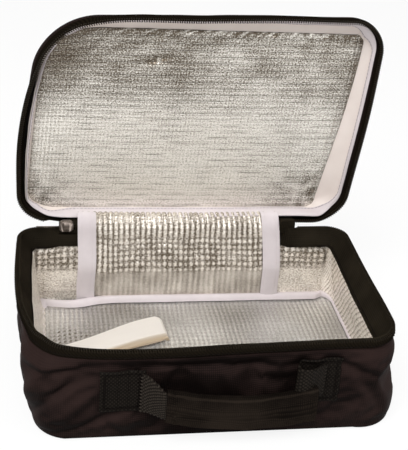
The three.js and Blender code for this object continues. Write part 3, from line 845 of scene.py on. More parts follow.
def buildWall():
    along = steps(0, around, wallShape["step"])[None, :-1]
    foot = [0, 0.25, 0.7, 1.3, 2.0, 2.8]
    upright = np.concatenate([foot, steps(4.2, wallTop - 4, 1.5), steps(wallTop - 3, wallTop, 0.8)])
    face, normal = wallFace(along, upright[:, None])
    lap = steps(0, wallShape["underLap"], 1.3)[:0:-1, None]
    under = np.repeat(face[:1], len(lap), 0)
    under[..., :2] -= normal[:1] * lap[..., None]
    points = np.concatenate([under, face])
    heights = np.concatenate([-lap, upright[:, None]])
    # painted shade by slope, and a painted shadow over the middle of the front, behind the handle
    tone = slopeShade(points, True) - wallShape["frontShade"] * bell(along, frontMiddle, wallShape["shadeWidth"])
    flat = flatGrid(along, heights)
    wall = clothMesh("wall_cloth", points, flat, wallShape["fabric"], polyester, wrap=True, tone=tone)
    settle(wall, "base", "outer_fabric", "wall_band", "foam_wall")


def buildBottom():
    lap = wallShape["roll"] + 2.4
    lean = wallShape["footLean"]
    left, right = -bodyHalfX + lap - lean["left"], bodyHalfX - lap + lean["right"]
    edgeY = bodyHalfY - lap
    x, y = panelGrid(left, right, -edgeY, edgeY, bagShape["base"]["rear"] - 3, 3.5)
    near = np.minimum(toEdge(x, left, right), toEdge(y, -edgeY, edgeY))
    uneven = 0.12 * np.abs(noiseField(x, y, 26, 8.8)) * ramp(near, 8, 20)
    z = 0.15 + 1.2 * (1 - ramp(near, 3, 12)) + uneven  # its edge rises to meet the wall's lap
    bottom = clothMesh("bottom_cloth", np.stack([x, y, z], -1), flatGrid(x, y), 1.0, polyester, flip=True)
    settle(bottom, "base", "outer_fabric", "bottom_panel", "foam_floor")


wallPuff = simulateWall()
print("wall cloth settled", np.round([wallPuff.min(), wallPuff.max(), wallPuff.std()], 2))
buildWall()
buildBottom()
print("walls and underside ready")


# Zip halves and the black facing inside the rim; a profile is inset and height, from below upwards
zipShape = {
    "tape": 1.1,
    "toothPitch": 1.7,  # a little coarser than the real coil, so that the teeth show
    "coilInset": 1.7,
    "coilDrop": 0.9,
    "stitchPitch": 3.2,
    "foilTop": liningTop + 3.0,
    "profile": [
        [1.5, 2.6], [0.3, 3.2], [-0.3, 4.1], [-0.6, 5.2],
        [-0.5, 6.3], [-0.1, 7.2], [0.4, 8.0], [0.9, 8.7],
    ],
    "seam": (-0.6, 5.0),
}
facingShape = {
    "profile": [
        [7.4, -1.6], [8.1, -0.6], [7.9, 0.8], [7.1, 3.2], [6.1, 6.4],
        [5.0, 9.4], [4.2, 12.0], [3.9, 14.2], [3.9, 16.0],
    ],
    "fabric": 1.0,
    "rearRise": 2.2,  # its lower edge is this much higher on the rear
    "seam": (8.0, 2.2),
    "waver": 0.4,
}
alongStep = 2.0
rearGap = hingeHalf + 0.3
tabLow, tabHigh = sides("zip_end_tab")
rearStretch = (bodyHalfX + bagShape["sideFlare"] - bagShape["base"]["rear"]) / runX
tabEnd = (tabHigh[0] + 0.3) / rearStretch

ridgeZ = 38.0  # the rear foil is embossed above this height and pressed flat below
# The rear panel's inner face from the floor up over the hinge to the lid, as y and z
backFaceY = sides("back_lining")[0][1]
lidLanding = sides("hinge_lining")[1]
innerPath = [
    (backFaceY, floorZ + 0.8),
    (backFaceY - 1.0, floorZ + 13),
    (backFaceY - 1.9, ridgeZ - 5),
    (backFaceY - 1.7, ridgeZ + 1),
    (backFaceY + 0.8, seamZ - 13),
    (backFaceY + 4.4, seamZ - 1),
    (backFaceY + 7.2, hingeZ - 1.2),
    (hingeY + 0.1, hingeZ + 3.6),
    (hingeY + 2.4, lidLanding[2] - 0.9),
    (hingeY + 7.0, lidLanding[2] - 0.5),
]


def sideways(normal):
    return np.concatenate([normal, np.zeros_like(normal[..., :1])], -1)


# Beside the hinge the rim's layers tuck in behind the rear panel
def tuck(points, along, gap):
    onLeft = 1 - ramp(along, rearGap + 3, rearGap + 15)
    onRight = 1 - ramp(around - along, rearGap - 14, rearGap - 7)
    beside = np.where(along < frontMiddle, onLeft, onRight)
    back = np.interp(points[..., 2], [p[1] for p in innerPath[:7]], [p[0] for p in innerPath[:7]]) + gap
    points[..., 1] += np.maximum(back - points[..., 1], 0) * beside
    return points


def buildBaseZip():
    along = steps(rearGap - 4, around - tabEnd, alongStep)[None, :]
    profile = np.array(zipShape["profile"])
    inset, height = profile[:, :1], profile[:, 1:] + seamZ
    points = baseRing(along, inset, height)[0]
    tape = clothMesh("zip_tape_base_half", points, flatGrid(along, height), zipShape["tape"], zipCloth)
    settle(tape, "base", "zip_tape", "zip_tape_base")
    line, normal = baseRing(along[0], zipShape["coilInset"], teethZ - zipShape["coilDrop"])
    lines = [(line, sideways(normal))]
    teeth = repeatAlong("zip_teeth_base", lines, toothUnit, zipShape["toothPitch"], nylon)
    settle(teeth, "base", "zip_coil", "zip_coil_base")
    seamInset, seamHeight = zipShape["seam"]
    seam, normal = baseRing(along[0], seamInset, seamZ + seamHeight)
    lines = [(seam, sideways(normal))]
    sew("zip_stitches_base", lines, zipShape["stitchPitch"], blackThread, "base", "outer_fabric")


def buildFacing():
    along = steps(rearGap - 9, around - rearGap + 16, alongStep)[None, :]
    profile = np.array(facingShape["profile"])
    height = profile[:, 1:] + zipShape["foilTop"]
    onRear = 1 - ramp(fromHinge(along), cornerMarks[1], cornerMarks[2])
    height = height + facingShape["rearRise"] * onRear * ramp(profile[:, 1:], 10, 2)
    inset = profile[:, :1] - facingShape["waver"] * noiseField(along, height, 17, 3.3)
    points = tuck(baseRing(along, inset, height)[0], along, 0.6)
    flat = flatGrid(along, height)
    facing = clothMesh("rim_facing_cloth", points, flat, facingShape["fabric"], facingCloth, flip=True)
    settle(facing, "base", "outer_fabric", "rim_facing")
    sewn = fromHinge(along[0]) > rearGap + 14
    seamInset, seamHeight = facingShape["seam"]
    seam, normal = baseRing(along[0][sewn], seamInset, zipShape["foilTop"] + seamHeight)
    lines = [(seam, -sideways(normal))]
    sew("facing_stitches", lines, zipShape["stitchPitch"], blackThread, "base", "outer_fabric")


buildBaseZip()
buildFacing()
print("base zip ready")


# Foil lining of the base
foilShape = {
    "film": 0.6,
    "step": 1.1,
    "wallCrease": 0.5,
    "floorCrease": 0.35,
    "creaseSize": {"wall": 15, "floor": 21},
    "rib": 0.55,
    "ribPitch": 4.25,
    "cellPitch": 4.6,
    "rowPitch": (2.8, 5.0),  # of the fine ribs on the left wall and on the right wall
    "rowSlant": (-0.36, 1.05),
    "rowStep": 0.6,
    "footFlare": (3.0, 0.8),  # how far the foot turns in over the floor, and that on the right
    "footHeight": 7.0,
    "floorRib": 0.3,
    "floorRibPitch": 3.7,
    "floorSag": 0.7,
    "rearSpread": 1.5,  # the right wall's foot runs outwards to the rear
    "dotPitch": (4.2, 4.6),
    "dotSlant": 0.2,
    "dotDepth": 0.5,
    "dotSpots": [(-92, 17, 25, 19), (82, -2, 20, 9), (30, -40, 40, 16), (-60, -52, 26, 12)],
    "lean": {"front": 0.0, "left": -8.0, "right": 6.5, "rear": 0.0},  # the lining leans with the walls
    "floorReach": 0.8,  # how much of that lean the floor follows
}
# How much darker the foil is painted, in general and where a mark of it stands out: painted reflections,
# highlights and shade
foilTone = {
    "wall": {"rear": 0.26, "embossed": 0.56, "crowns": 1.1, "side": -0.09, "rows": 0.05, "patches": 0.22},
    "wallRight": {"all": 0.14, "rows": 0.45},
    "floor": {"all": 0.5, "right": -0.16, "ribs": 0.1, "patches": 0.3, "dots": 1.2},
    "back": {"all": 0.11, "cells": 0.78, "crowns": 1.05, "streaks": 0.52, "ribs": 0.55, "patches": 0.2},
    "backFlat": {"all": 0.42, "grain": 0.16, "ribs": 0.09, "fold": 0.3, "calm": 0.75},
    "lid": {"all": 0.08, "right": 0.1, "clouds": 0.1, "rear": -0.1, "rim": 0.3, "farEdge": 1.3},
    "lidFront": {"all": 0.43, "left": 0.24, "clouds": 0.17},
    "lidDent": {"all": 0.35, "specks": 1.2},
    "lidCorners": {"all": 0.3, "specks": 0.6},
}


def liningRing(along, inset, z):
    along, inset, z = np.broadcast_arrays(along, inset, z)
    normal = outlineAt(along, bodyHalfX, bodyHalfY, bagShape["corner"], bagShape["leastCorner"])[1]
    toRear = ramp(along, cornerMarks[6], cornerMarks[7]) * np.maximum(normal[..., 0], 0)
    lean = sideShare(normal, foilShape["lean"]) + foilShape["rearSpread"] * toRear
    lean = lean * np.clip(1 - z / zipShape["foilTop"], 0, 1)
    return baseRing(along, inset - lean, z)


def wave(value, pitch):
    return np.sin(value * 2 * math.pi / pitch)


# Embossed cells: upright ribs beaded by cross lines; gives their height and how bright their crowns are
def emboss(u, v, seed):
    wander = 1.1 * noiseField(u, v, 18, seed)
    ribs = wave(u + wander, foilShape["ribPitch"])
    beads = wave(v + 1.4 * noiseField(u, v, 22, seed + 2.6), foilShape["cellPitch"])
    crowns = np.clip(0.55 * ribs + 0.45 * beads + 0.5 * noiseField(u, v, 5, seed + 4.1), -1, 1)
    return ribs * (0.75 + 0.35 * beads), np.maximum(crowns, 0)


def buildFoilWalls():
    spans = (
        steps(rearGap - 10, cornerMarks[6], foilShape["step"])[:-1],
        steps(cornerMarks[6], cornerMarks[7], foilShape["rowStep"])[:-1],
        steps(cornerMarks[7], around - rearGap + 18, foilShape["step"]),
    )
    along = np.concatenate(spans)[None, :]
    z = steps(floorZ - 0.6, zipShape["foilTop"] + 3.0, foilShape["step"])[:, None]
    foot = np.clip(1 - (z - floorZ) / foilShape["footHeight"], 0, 1)
    onRear = (1 - ramp(fromHinge(along), cornerMarks[1] + 12, cornerMarks[2] - 12)) * np.ones_like(z)
    onRight = ramp(along, cornerMarks[5], cornerMarks[6]) * (1 - onRear)
    upper = ramp(z, ridgeZ - 8, ridgeZ + 2)
    cells, crowns = emboss(along, z, 3.9)
    slant = np.where(along < frontMiddle, *foilShape["rowSlant"])
    pitch = np.where(along < frontMiddle, *foilShape["rowPitch"])
    rows = wave(z + slant * along + noiseField(along, z, 15, 2.3), pitch)
    relief = foilShape["wallCrease"] * crumple(along, z * 1.2, foilShape["creaseSize"]["wall"], 1.7)
    relief = relief - foilShape["rib"] * (onRear * upper * cells + 0.7 * (1 - onRear) * rows)
    relief = relief - 1.6 * ramp(z, zipShape["foilTop"] - 4, zipShape["foilTop"])  # it goes behind the facing
    flare = between(*foilShape["footFlare"], onRight) * foot**2
    points = tuck(liningRing(along, foilInset + flare + relief, z)[0], along, 1.2)
    # painted reflection and shade: the embossed zone darker, its crowns and the rows painted lighter as
    # highlights, the right wall darker
    look, right = foilTone["wall"], foilTone["wallRight"]
    rearTone = look["rear"] + upper * (look["embossed"] - look["crowns"] * crowns)
    tone = between(look["side"] - look["rows"] * rows, rearTone, onRear)
    tone = tone + onRight * (right["all"] - right["rows"] * rows)
    tone = np.clip(tone + look["patches"] * noiseField(along, z, 9, 6.1), -0.3, 1)
    flat = flatGrid(along, z)
    foil = clothMesh("foil_wall_wrap", points, flat, foilShape["film"], wallFilm, flip=True, tone=tone)
    settle(foil, "base", "foil_film", "lining_wrap")


def buildFoilFloor():
    edgeX, edgeY = bodyHalfX - foilInset - 1.0, bodyHalfY - foilInset - 1.0
    lean = foilShape["lean"]
    left = -edgeX - lean["left"] * foilShape["floorReach"]
    right = edgeX + (lean["right"] + foilShape["rearSpread"]) * foilShape["floorReach"]
    x, y = panelGrid(left, right, -edgeY, edgeY, 8.0, 1.0)
    ribs = wave(x + noiseField(x, y, 30, 2.2), foilShape["floorRibPitch"])
    z = floorZ + foilShape["floorSag"] * noiseField(x, y, 60, 5.1)
    z = z + foilShape["floorCrease"] * crumple(x, y, foilShape["creaseSize"]["floor"], 6.3)
    pitchX, pitchY = foilShape["dotPitch"]
    dots = (wave(x, pitchX) + wave(y - foilShape["dotSlant"] * x, pitchY)) / 2
    dots = np.clip(2.6 * (dots - 0.45), 0, 1)
    inSpot = 0
    for spotX, spotY, wide, deep in foilShape["dotSpots"]:
        inSpot = inSpot + bell(x, spotX, wide) * bell(y, spotY, deep)
    dots = dots * ramp(inSpot + 0.5 * noiseField(x, y, 14, 3.4), 0.35, 0.75)
    # painted shade in the pressed dots and along the ribs, and painted light towards the right
    look = foilTone["floor"]
    tone = look["all"] + look["right"] * ramp(x, 55, 115) + look["ribs"] * ribs + look["dots"] * dots
    tone = np.clip(tone + look["patches"] * noiseField(x, y, 34, 1.3), 0, 1)
    points = np.stack([x, y, z + foilShape["floorRib"] * ribs - foilShape["dotDepth"] * dots], -1)
    foil = clothMesh("foil_floor", points, flatGrid(x, y), foilShape["film"], floorFilm, tone=tone)
    settle(foil, "base", "foil_film", "lining_floor")


# The tape over the floor seam: wide at the rear, where it has come loose on the left, and thin on the right
bindingShape = {
    "wide": {"front": 5.0, "left": 0.8, "right": 0.8, "rear": 4.6},
    "tall": {"front": 3.0, "left": 0.8, "right": 0.9, "rear": 3.2},
    "tape": 0.8,
    "loose": 6.0,
    "looseAt": (-84, 20),
    "lift": 0.4,
    "liftSpan": (10, 112),
    "stray": ((0.8, 34, 2.9), (0.4, 11, 7.1)),  # how it wavers: amount, size and seed
    "stitchPitch": 3.4,
}


def buildFloorBinding():
    along = steps(0, around, 2.0)[None, :-1]
    spot, normal = outlineAt(along, bodyHalfX, bodyHalfY, bagShape["corner"])
    x = spot[..., 0]
    rear = np.maximum(normal[..., 1], 0) ** 2
    stray = sum(amount * noiseField(along, 0.0, size, seed) for amount, size, seed in bindingShape["stray"])
    share = np.linspace(0, 1, 8)[:, None]
    wide, tall = sideShare(normal, bindingShape["wide"]), sideShare(normal, bindingShape["tall"])
    drift = bindingShape["loose"] * rear * bell(x, *bindingShape["looseAt"]) + 0.6 * stray
    lift = bindingShape["lift"] * rear * ramp(x, *bindingShape["liftSpan"])
    inset = foilInset + 0.6 + wide * share**0.8 + drift
    crown = np.cos(share * math.pi / 2) ** 0.7 + 0.25 * np.sin(share * math.pi)
    z = floorZ + 0.7 + tall * crown + lift + stray * (1 - share) * 0.6
    points = liningRing(along, inset, z)[0]
    flat = flatGrid(along, share * 9)
    tape = clothMesh("floor_binding_tape", points, flat, bindingShape["tape"], binding, wrap=True, flip=True)
    settle(tape, "base", "white_binding", "floor_binding")
    lines = [(points[3], -gridNormals(points, True)[3])]
    pitch = bindingShape["stitchPitch"]
    sew("floor_binding_stitches", lines, pitch, whiteThread, "base", "white_binding", closed=True)


buildFoilWalls()
buildFoilFloor()
buildFloorBinding()
print("base lining ready")


# Rear panel: foil and white strips that run from the floor up over the hinge, and the black hinge cloth
hingeShape = {
    "rib": 0.62,
    "crease": 0.35,
    "creaseSize": 15,
    "sag": 0.8,
    "strip": 0.9,
    "stripBase": 1.3,
    "stripLift": 0.9,
    "stripSeam": 2.0,
    "stitchPitch": 3.2,
    "drift": -4.3,  # the soft panel hangs a little to the left
    "straighten": 3.6,
    "cloth": 1.0,
    "clothRight": 9.0,  # the black cloth reaches this far past the hinge, behind the zip's end
    "clothLeft": 13.0,
}
blendStart = (0, (backFaceY + 5.4) * mm, (seamZ + 2) * mm)
blendEnd = (0, (hingeY + 3.0) * mm, (lidLanding[2] - 0.8) * mm)
hingeFold = (blendStart, blendEnd)
baseAndLid = ("base", "lid")


def hangShift(x, v, full):
    return hingeShape["drift"] + hingeShape["straighten"] * (1 - v / full) * ramp(x, -40, 70)


def pathSheet(x, line, tangent, lift):
    inward = np.stack([-tangent[:, 1], tangent[:, 0]], 1)
    spot = line[:, None, :] + inward[:, None, :] * lift[..., None]
    return np.concatenate([np.broadcast_to(x, lift.shape)[..., None], spot], -1)


def buildBackFoil():
    line, tangent, length = smoothLine(innerPath, 0.9)
    x = steps(-hingeHalf, hingeHalf, 0.8)[None, :]
    v = length[:, None]
    height = np.broadcast_to(line[:, 1:], (len(line), x.shape[1]))
    ribbed = ramp(height, ridgeZ - 7, ridgeZ + 1)
    streaked = ramp(height, seamZ - 2, seamZ + 4)
    cells, crowns = emboss(x, v, 3.1)
    ribs = wave(x + 1.1 * noiseField(x, v, 18, 3.1), foilShape["ribPitch"])
    lift = hingeShape["rib"] * ribbed * between(cells, ribs, streaked)
    lift = lift + hingeShape["crease"] * crumple(x, v, hingeShape["creaseSize"], 12.2)
    lift = lift + hingeShape["sag"] * noiseField(x, v, 50, 7.4)
    # painted highlights on the crowns and as streaks on the ribs, painted shade in the cells, painted glints
    # and shade at the fold, and a painted reflection on the smooth lower part
    leftStreaks = 0.8 * ramp(x, -40, -66) * np.maximum(ribs, 0) * ramp(height, 62, 52)
    look, low = foilTone["back"], foilTone["backFlat"]
    onCells = look["cells"] - look["crowns"] * crowns - leftStreaks
    onStreaks = look["streaks"] - look["ribs"] * ribs * (1 - ramp(height, seamZ + 8, seamZ + 13))
    fold = low["fold"] * bell(height, ridgeZ, 2.2) * noiseField(x, v, 3.5, 9.3)
    smooth = low["all"] + low["grain"] * noiseField(x, v * 0.1, 2.2, 5.5) - low["ribs"] * ribs
    tone = between(smooth, between(onCells, onStreaks, streaked), ribbed)
    tone = np.clip(look["all"] + tone - fold + look["patches"] * noiseField(x, v, 12, 4.6), 0, 1)
    points = pathSheet(x + hangShift(x, v, length[-1]), line, tangent, lift)
    flat = flatGrid(x, v)
    foil = clothMesh("foil_back_panel", points, flat, foilShape["film"], wallFilm, flip=True, tone=tone)
    calm = low["calm"] * (1 - ribbed)  # the film is smooth below the ridge, so it gets fewer painted glints
    foil.data.attributes.new("calm", "FLOAT", "POINT").data.foreach_set("value", np.tile(calm.ravel(), 2))
    settleBetween(foil, baseAndLid, hingeFold, "foil_film", "back_lining", "hinge_lining")


def buildStrips():
    line, tangent, length = smoothLine(innerPath[:-1] + [(hingeY + 4.4, lidLanding[2] - 0.7)], 1.4)
    v = length[:, None]
    for side, seed in (("left", 1.9), ("right", 8.4)):
        low, high = sides("back_strip_" + side)
        x = steps(low[0], high[0], 0.75)[None, :]
        edge = np.abs(x - (low[0] + high[0]) / 2) / ((high[0] - low[0]) / 2)
        lift = hingeShape["stripBase"] + hingeShape["stripLift"] * (1 - edge**4)
        lift = lift - 0.35 * bell(edge, 0.7, 0.08) + 0.4 * noiseField(x, v, 14, seed)
        sway = hangShift(x, v, length[-1]) + 0.8 * noiseField(np.zeros_like(v), v, 26, seed)
        points = pathSheet(x + sway, line, tangent, lift)
        flat = flatGrid(x, v)
        strip = clothMesh("white_strip_" + side, points, flat, hingeShape["strip"], binding, flip=True)
        nodes = ("back_strip_" + side, "hinge_strip_" + side)
        settleBetween(strip, baseAndLid, hingeFold, "white_binding", *nodes)
        normal = -gridNormals(points, False)
        lines = []
        for seam in (x[0, 0] + hingeShape["stripSeam"], x[0, -1] - hingeShape["stripSeam"]):
            column = np.argmin(np.abs(x[0] - seam))
            out = normal[2:-3, column]
            lines.append((points[2:-3, column] + 0.1 * out, out))
        name = "white_strip_stitches_" + side
        stitches = repeatAlong(name, lines, stitchUnit, hingeShape["stitchPitch"], whiteThread)
        settleBetween(stitches, baseAndLid, hingeFold, "white_binding")


def buildHingeCloth():
    low, high = sides("hinge_fabric")
    path = [
        (low[1] + 0.5, low[2]),
        (low[1] + 0.5, seamZ),
        (low[1] + 1.6, hingeZ - 2.5),
        (hingeY + 2.5, high[2] - 0.7),
        (hingeY + 9.3, high[2] - 0.5),
        (high[1], high[2] - 0.5),
    ]
    line, tangent, length = smoothLine(path, 1.2)
    x = steps(-hingeHalf - hingeShape["clothLeft"], hingeHalf + hingeShape["clothRight"], 2.0)[None, :]
    v = length[:, None]
    points = pathSheet(x, line, tangent, 0.4 * noiseField(x, v, 15, 6.6))
    cloth = clothMesh("hinge_cloth", points, flatGrid(x, v), hingeShape["cloth"], facingCloth)
    settleBetween(cloth, baseAndLid, hingeFold, "outer_fabric", "hinge_fabric")


buildBackFoil()
buildStrips()
buildHingeCloth()
print("hinge ready")


# Lid
lidShape = {
    "step": 2.0,
    "fabric": 1.2,
    # the gusset's inset and its height above the teeth, and the same for the zip tape
    "profile": [
        [1.0, 7.6], [0.2, 8.6], [-0.5, 10.5], [-1.0, 13.5], [-1.0, 16.0],
        [-0.7, 18.2], [0.0, 20.4], [1.0, 21.8], [2.0, 22.4],
    ],
    "tape": [
        [0.9, 0.4], [0.3, 1.4], [-0.3, 3.0], [-0.7, 4.6],
        [-0.8, 6.2], [-0.5, 7.8], [0.4, 9.2], [1.6, 10.4],
    ],
    "dome": 2.2,
    "topFabric": 1.4,
    "shrink": {"front": 9.5, "left": 1.5, "right": 4.0, "rear": 1.0},  # the outer face is smaller
    "panelRear": 79.3,
    "panelFront": -67.0,
    "panelLeft": (-124.2, -122.4),  # at the rear and at the front
    "panelRight": (106.5, 117.0),
    "panelBow": 2.6,
    "panelCorner": 7.0,
    "panelFarCorner": 24.0,  # the left corners follow the lid's outline
    "panelNearCorner": 17.0,
    "panelDepth": 18.2,
    "cornerRise": 10.0,
    "riseFrom": ((-78, -118), (-24, -64)),  # where that corner turns up, in x and in y
    "farCornerPull": 6.0,  # the outer panel's far left corner is drawn in
    "pullReach": 42.0,
    "pad": 2.4,  # the padded panel stands this much towards the opening in its middle
    "crease": 0.3,
    "dent": (-36, -44),  # the one sharp crease at the far edge
    "seam": (6.5, 0.9),  # a line along the right edge
    "liner": 0.7,
    "rimDepth": (8.4, 1.5),  # where the lining starts, on the sides and beside the hinge
    "rimInset": (2.0, 2.9),
    "leftInset": 3.6,
    "rearSpan": ((84, 112), (96, 124)),
    "zipBinding": {"front": 6.5, "left": 2.6, "right": 3.6, "rear": 5.0},
    "rearBinding": 0.88,
    "stitchPitch": 2.9,
    "rearHang": 3.2,  # beside the hinge the zip tape droops below the white binding
    "sliderSlot": 104.3,  # the teeth leave room for the slider here
    "overSlider": 3.2,
    "overTab": 4.2,
    "cloth": {"frames": 16, "quality": 5, "bending": 0.6, "spare": 0.02, "pressure": 2.0, "cap": 2.5},
}
panelMiddle = (lidShape["panelRear"] + lidShape["panelFront"]) / 2
panelHalfX, panelHalfY = 120.0, (lidShape["panelRear"] - lidShape["panelFront"]) / 2


def buildLidShell():
    along = steps(0, around, lidShape["step"])[None, :-1]
    shrink = lidShape["shrink"]
    profile = np.array(lidShape["profile"])
    inset, h = profile[:, :1], profile[:, 1:]
    inset = inset + sideShare(plainNormal(along), shrink) * ramp(h, 9, 25)
    points = lidRing(along, inset - 0.5 * noiseField(along, h * 1.5, 24, 2.4), h)[0]
    flat = flatGrid(along, h)
    gusset = clothMesh("lid_gusset_cloth", points, flat, lidShape["fabric"], polyester, wrap=True)
    settle(gusset, "lid", "outer_fabric", "lid_gusset")

    left, right = -bodyHalfX + shrink["left"] + 1.0, bodyHalfX - shrink["right"] - 1.0
    low, high = -bodyHalfY + shrink["front"] + 0.4, bodyHalfY - shrink["rear"] - 1.0
    corner = bagShape["corner"] - 3
    x, y = panelGrid(left, right, low, high, corner, 2.5)
    u, v = np.abs(2 * (x - left) / (right - left) - 1), np.abs(2 * (y - low) / (high - low) - 1)
    nearX, nearY = toEdge(x, left, right), toEdge(y, low, high)
    past = np.hypot(np.maximum(corner - nearX, 0), np.maximum(corner - nearY, 0))
    near = np.maximum(np.minimum(np.minimum(nearX, nearY), corner - past), 0)
    h = lidDepth - 2.4 + 2.2 * np.sqrt(np.clip(near / 5, 0, 1)) + lidShape["dome"] * (1 - u**4) * (1 - v**4)
    reach = lidShape["pullReach"]
    pull = lidShape["farCornerPull"] * ramp(x, left + reach, left) * ramp(y, low + reach, low)
    points = lidPoint(x + pull, y + pull, h)
    move = wrinkle(points, near < 3, False, lidShape["cloth"])
    print("lid cloth settled", np.round([move[..., 1].min(), move[..., 1].max()], 2))
    points = points + move
    # painted shade: paler where the lid's cloth faces up, darker under its folds
    tone = slopeShade(points, False)
    panel = clothMesh("lid_panel_cloth", points, flatGrid(x, y), lidShape["topFabric"], polyester, tone=tone)
    settle(panel, "lid", "outer_fabric", "lid_top_panel", "lid_foam")


# The foil panel is cut askew: its right edge slants
def panelSkew(x, y):
    rear, front = lidShape["panelRear"], lidShape["panelFront"]
    share = (rear - y) / (rear - front)
    far, near = lidShape["panelFarCorner"], lidShape["panelNearCorner"]
    left = between(*lidShape["panelLeft"], share) + roundOff(far, np.clip(far - (y - front), 0, far))
    left = left + roundOff(near, np.clip(near - (rear - y), 0, near))
    right = between(*lidShape["panelRight"], share)
    right = right + lidShape["panelBow"] * np.sin(math.pi * np.clip(share, 0, 1) ** 1.4)
    return left + (x + panelHalfX) / (2 * panelHalfX) * (right - left)


# How deep in the lid the foil panel lies: its far left corner turns up to the zip
def panelSink(x, y):
    spanX, spanY = lidShape["riseFrom"]
    return lidShape["panelDepth"] - lidShape["cornerRise"] * ramp(x, *spanX) * ramp(y, *spanY)


def panelLoop(along):
    spot = outlineAt(along, panelHalfX, panelHalfY, lidShape["panelCorner"])[0]
    y = spot[..., 1] + panelMiddle
    return np.stack([panelSkew(spot[..., 0], y), y], -1)


def rearShare(along):
    onLeft, onRight = lidShape["rearSpan"]
    return 1 - ramp(along, *onLeft) * ramp(around - along, *onRight)


# Lid lining between the rim (share 0) and the foil panel (share 1)
def linerRow(along, share, lift):
    along, share, lift = np.broadcast_arrays(along, share, lift)
    rear = rearShare(along)
    rimH = between(*lidShape["rimDepth"], rear)
    fade = 1 - ramp(rimH, 0, lidDepth)
    leftward = np.maximum(-plainNormal(along)[..., 0], 0) * (1 - rear)
    inset = between(*lidShape["rimInset"], rear) + lidShape["leftInset"] * leftward
    rim, normal, up = looseOutline(along, inset, rimH, fade, "lid")
    panel = panelLoop(along)
    bow = np.sin(math.pi * share)
    corner = 1 - np.abs(np.abs(normal[..., 0]) - np.abs(normal[..., 1]))
    outward = (1.0 - 0.6 * rear - 2.4 * corner) * bow - lift
    spot = between(rim, panel, share[..., None]) + normal * outward[..., None]
    sink = panelSink(panel[..., 0], panel[..., 1])
    h = between(rimH + up, sink, share) + 0.8 * bow - 0.6 * lift * (1 - rear)
    return lidPoint(spot[..., 0], spot[..., 1], h)


def buildLidLiner():
    along = steps(0, around, lidShape["step"])[None, :-1]
    share = np.linspace(0.1, 1.05, 9)[:, None]
    points = linerRow(along, share, 0.4 * noiseField(along, share * 12, 15, 7.7))
    flat = flatGrid(along, share * 14)
    liner = clothMesh("lid_gusset_film", points, flat, lidShape["liner"], whiteLiner, wrap=True, flip=True)
    settle(liner, "lid", "white_film", "lid_gusset_lining")


def buildLidBinding():
    along = steps(0, around, lidShape["step"])[None, :-1]
    width = np.linalg.norm(linerRow(along, 1.0, 0.0) - linerRow(along, 0.0, 0.0), axis=-1)
    reach = np.clip(sideShare(plainNormal(along), lidShape["zipBinding"]) / width, 0.1, 0.9)
    reach = between(reach, lidShape["rearBinding"], rearShare(along))
    share = np.linspace(0, 1, 9)[:, None]
    puff = 0.5 + 0.7 * np.sin(share * math.pi) ** 0.7 + 0.3 * noiseField(along, share * 8, 18, 4.4)
    points = linerRow(along, share * reach, puff)
    flat = flatGrid(along, share * 8)
    tape = clothMesh("lid_binding_tape", points, flat, lidShape["liner"], binding, wrap=True, flip=True)
    settle(tape, "lid", "white_binding", "lid_binding")
    # the grey stitches are a seam, and also stand in for the shadow line along the binding's inner edge
    lines = [(points[6], -gridNormals(points, True)[6])]
    pitch = lidShape["stitchPitch"]
    sew("lid_binding_stitches", lines, pitch, seamShadowThread, "lid", "white_binding", closed=True)


def buildLidFoil():
    margin = 0.8  # it goes under the lining's edge
    halfX, halfY = panelHalfX + margin, panelHalfY + margin
    x, y = panelGrid(-halfX, halfX, panelMiddle - halfY, panelMiddle + halfY, lidShape["panelCorner"], 1.0)
    u, v = np.abs(x) / halfX, np.abs(y - panelMiddle) / halfY
    near = np.minimum((1 - u) * panelHalfX, (1 - v) * halfY)
    placed = panelSkew(x, y)
    dentX, dentY = lidShape["dent"]
    dent = bell(x, dentX, 9) * bell(y + 0.25 * (x - dentX), dentY, 2.6)
    # painted reflections and shade: darker towards the front and the left and in clouds, painted shadow along
    # the rim and at the dent and the corners, painted glints along the far edge
    clouds = noiseField(x * 0.4, y, 13, 8.2) + 0.6 * noiseField(x * 0.6, y, 6, 1.1)
    look, front = foilTone["lid"], foilTone["lidFront"]
    atFront = front["all"] + front["left"] * ramp(x, 40, -80) + front["clouds"] * clouds
    tone = look["all"] + look["right"] * ramp(x, 40, 90) + look["clouds"] * clouds
    tone = tone + ramp(y, 12, -42) * atFront + look["rear"] * ramp(y, 20, 70)
    tone = tone + look["rim"] * np.exp(-near / 3.5)
    farEdge = np.exp(-(y - lidShape["panelFront"]) / 3) * ramp(x, -90, -70)
    tone = tone + look["farEdge"] * farEdge * noiseField(x, y, 4.5, 6.8)
    lowCorners = bell(x, -112, 22) * bell(y, 70, 20) + bell(x, 112, 30) * bell(y, 66, 24)
    for spot, part, size, seed in ((dent, "lidDent", 4, 2.9), (lowCorners, "lidCorners", 7, 5.2)):
        tone = tone + spot * (foilTone[part]["all"] + foilTone[part]["specks"] * noiseField(x, y, size, seed))
    tone = np.clip(tone, -0.2, 1)
    h = panelSink(placed, y) - 0.7 - lidShape["pad"] * (1 - u**3) * (1 - v**3)
    h = h - 0.8 * noiseField(x, y, 60, 9.9) * ramp(near, 0, 14)
    creased = (1 + 2.2 * np.exp(-near / 9)) * ramp(near, 0, 4) * (0.4 + 1.6 * tone)
    seam = bell(panelHalfX - x, *lidShape["seam"]) * ramp(near, 0, 5)
    h = h - lidShape["crease"] * crumple(x, y, 18, 2.2) * creased + 1.5 * dent - 0.7 * seam
    points = lidPoint(placed, y, h)
    flat = flatGrid(placed, y)
    foil = clothMesh("foil_lid_panel", points, flat, foilShape["film"], lidFilm, flip=True, tone=tone)
    settle(foil, "lid", "foil_film", "lid_lining")


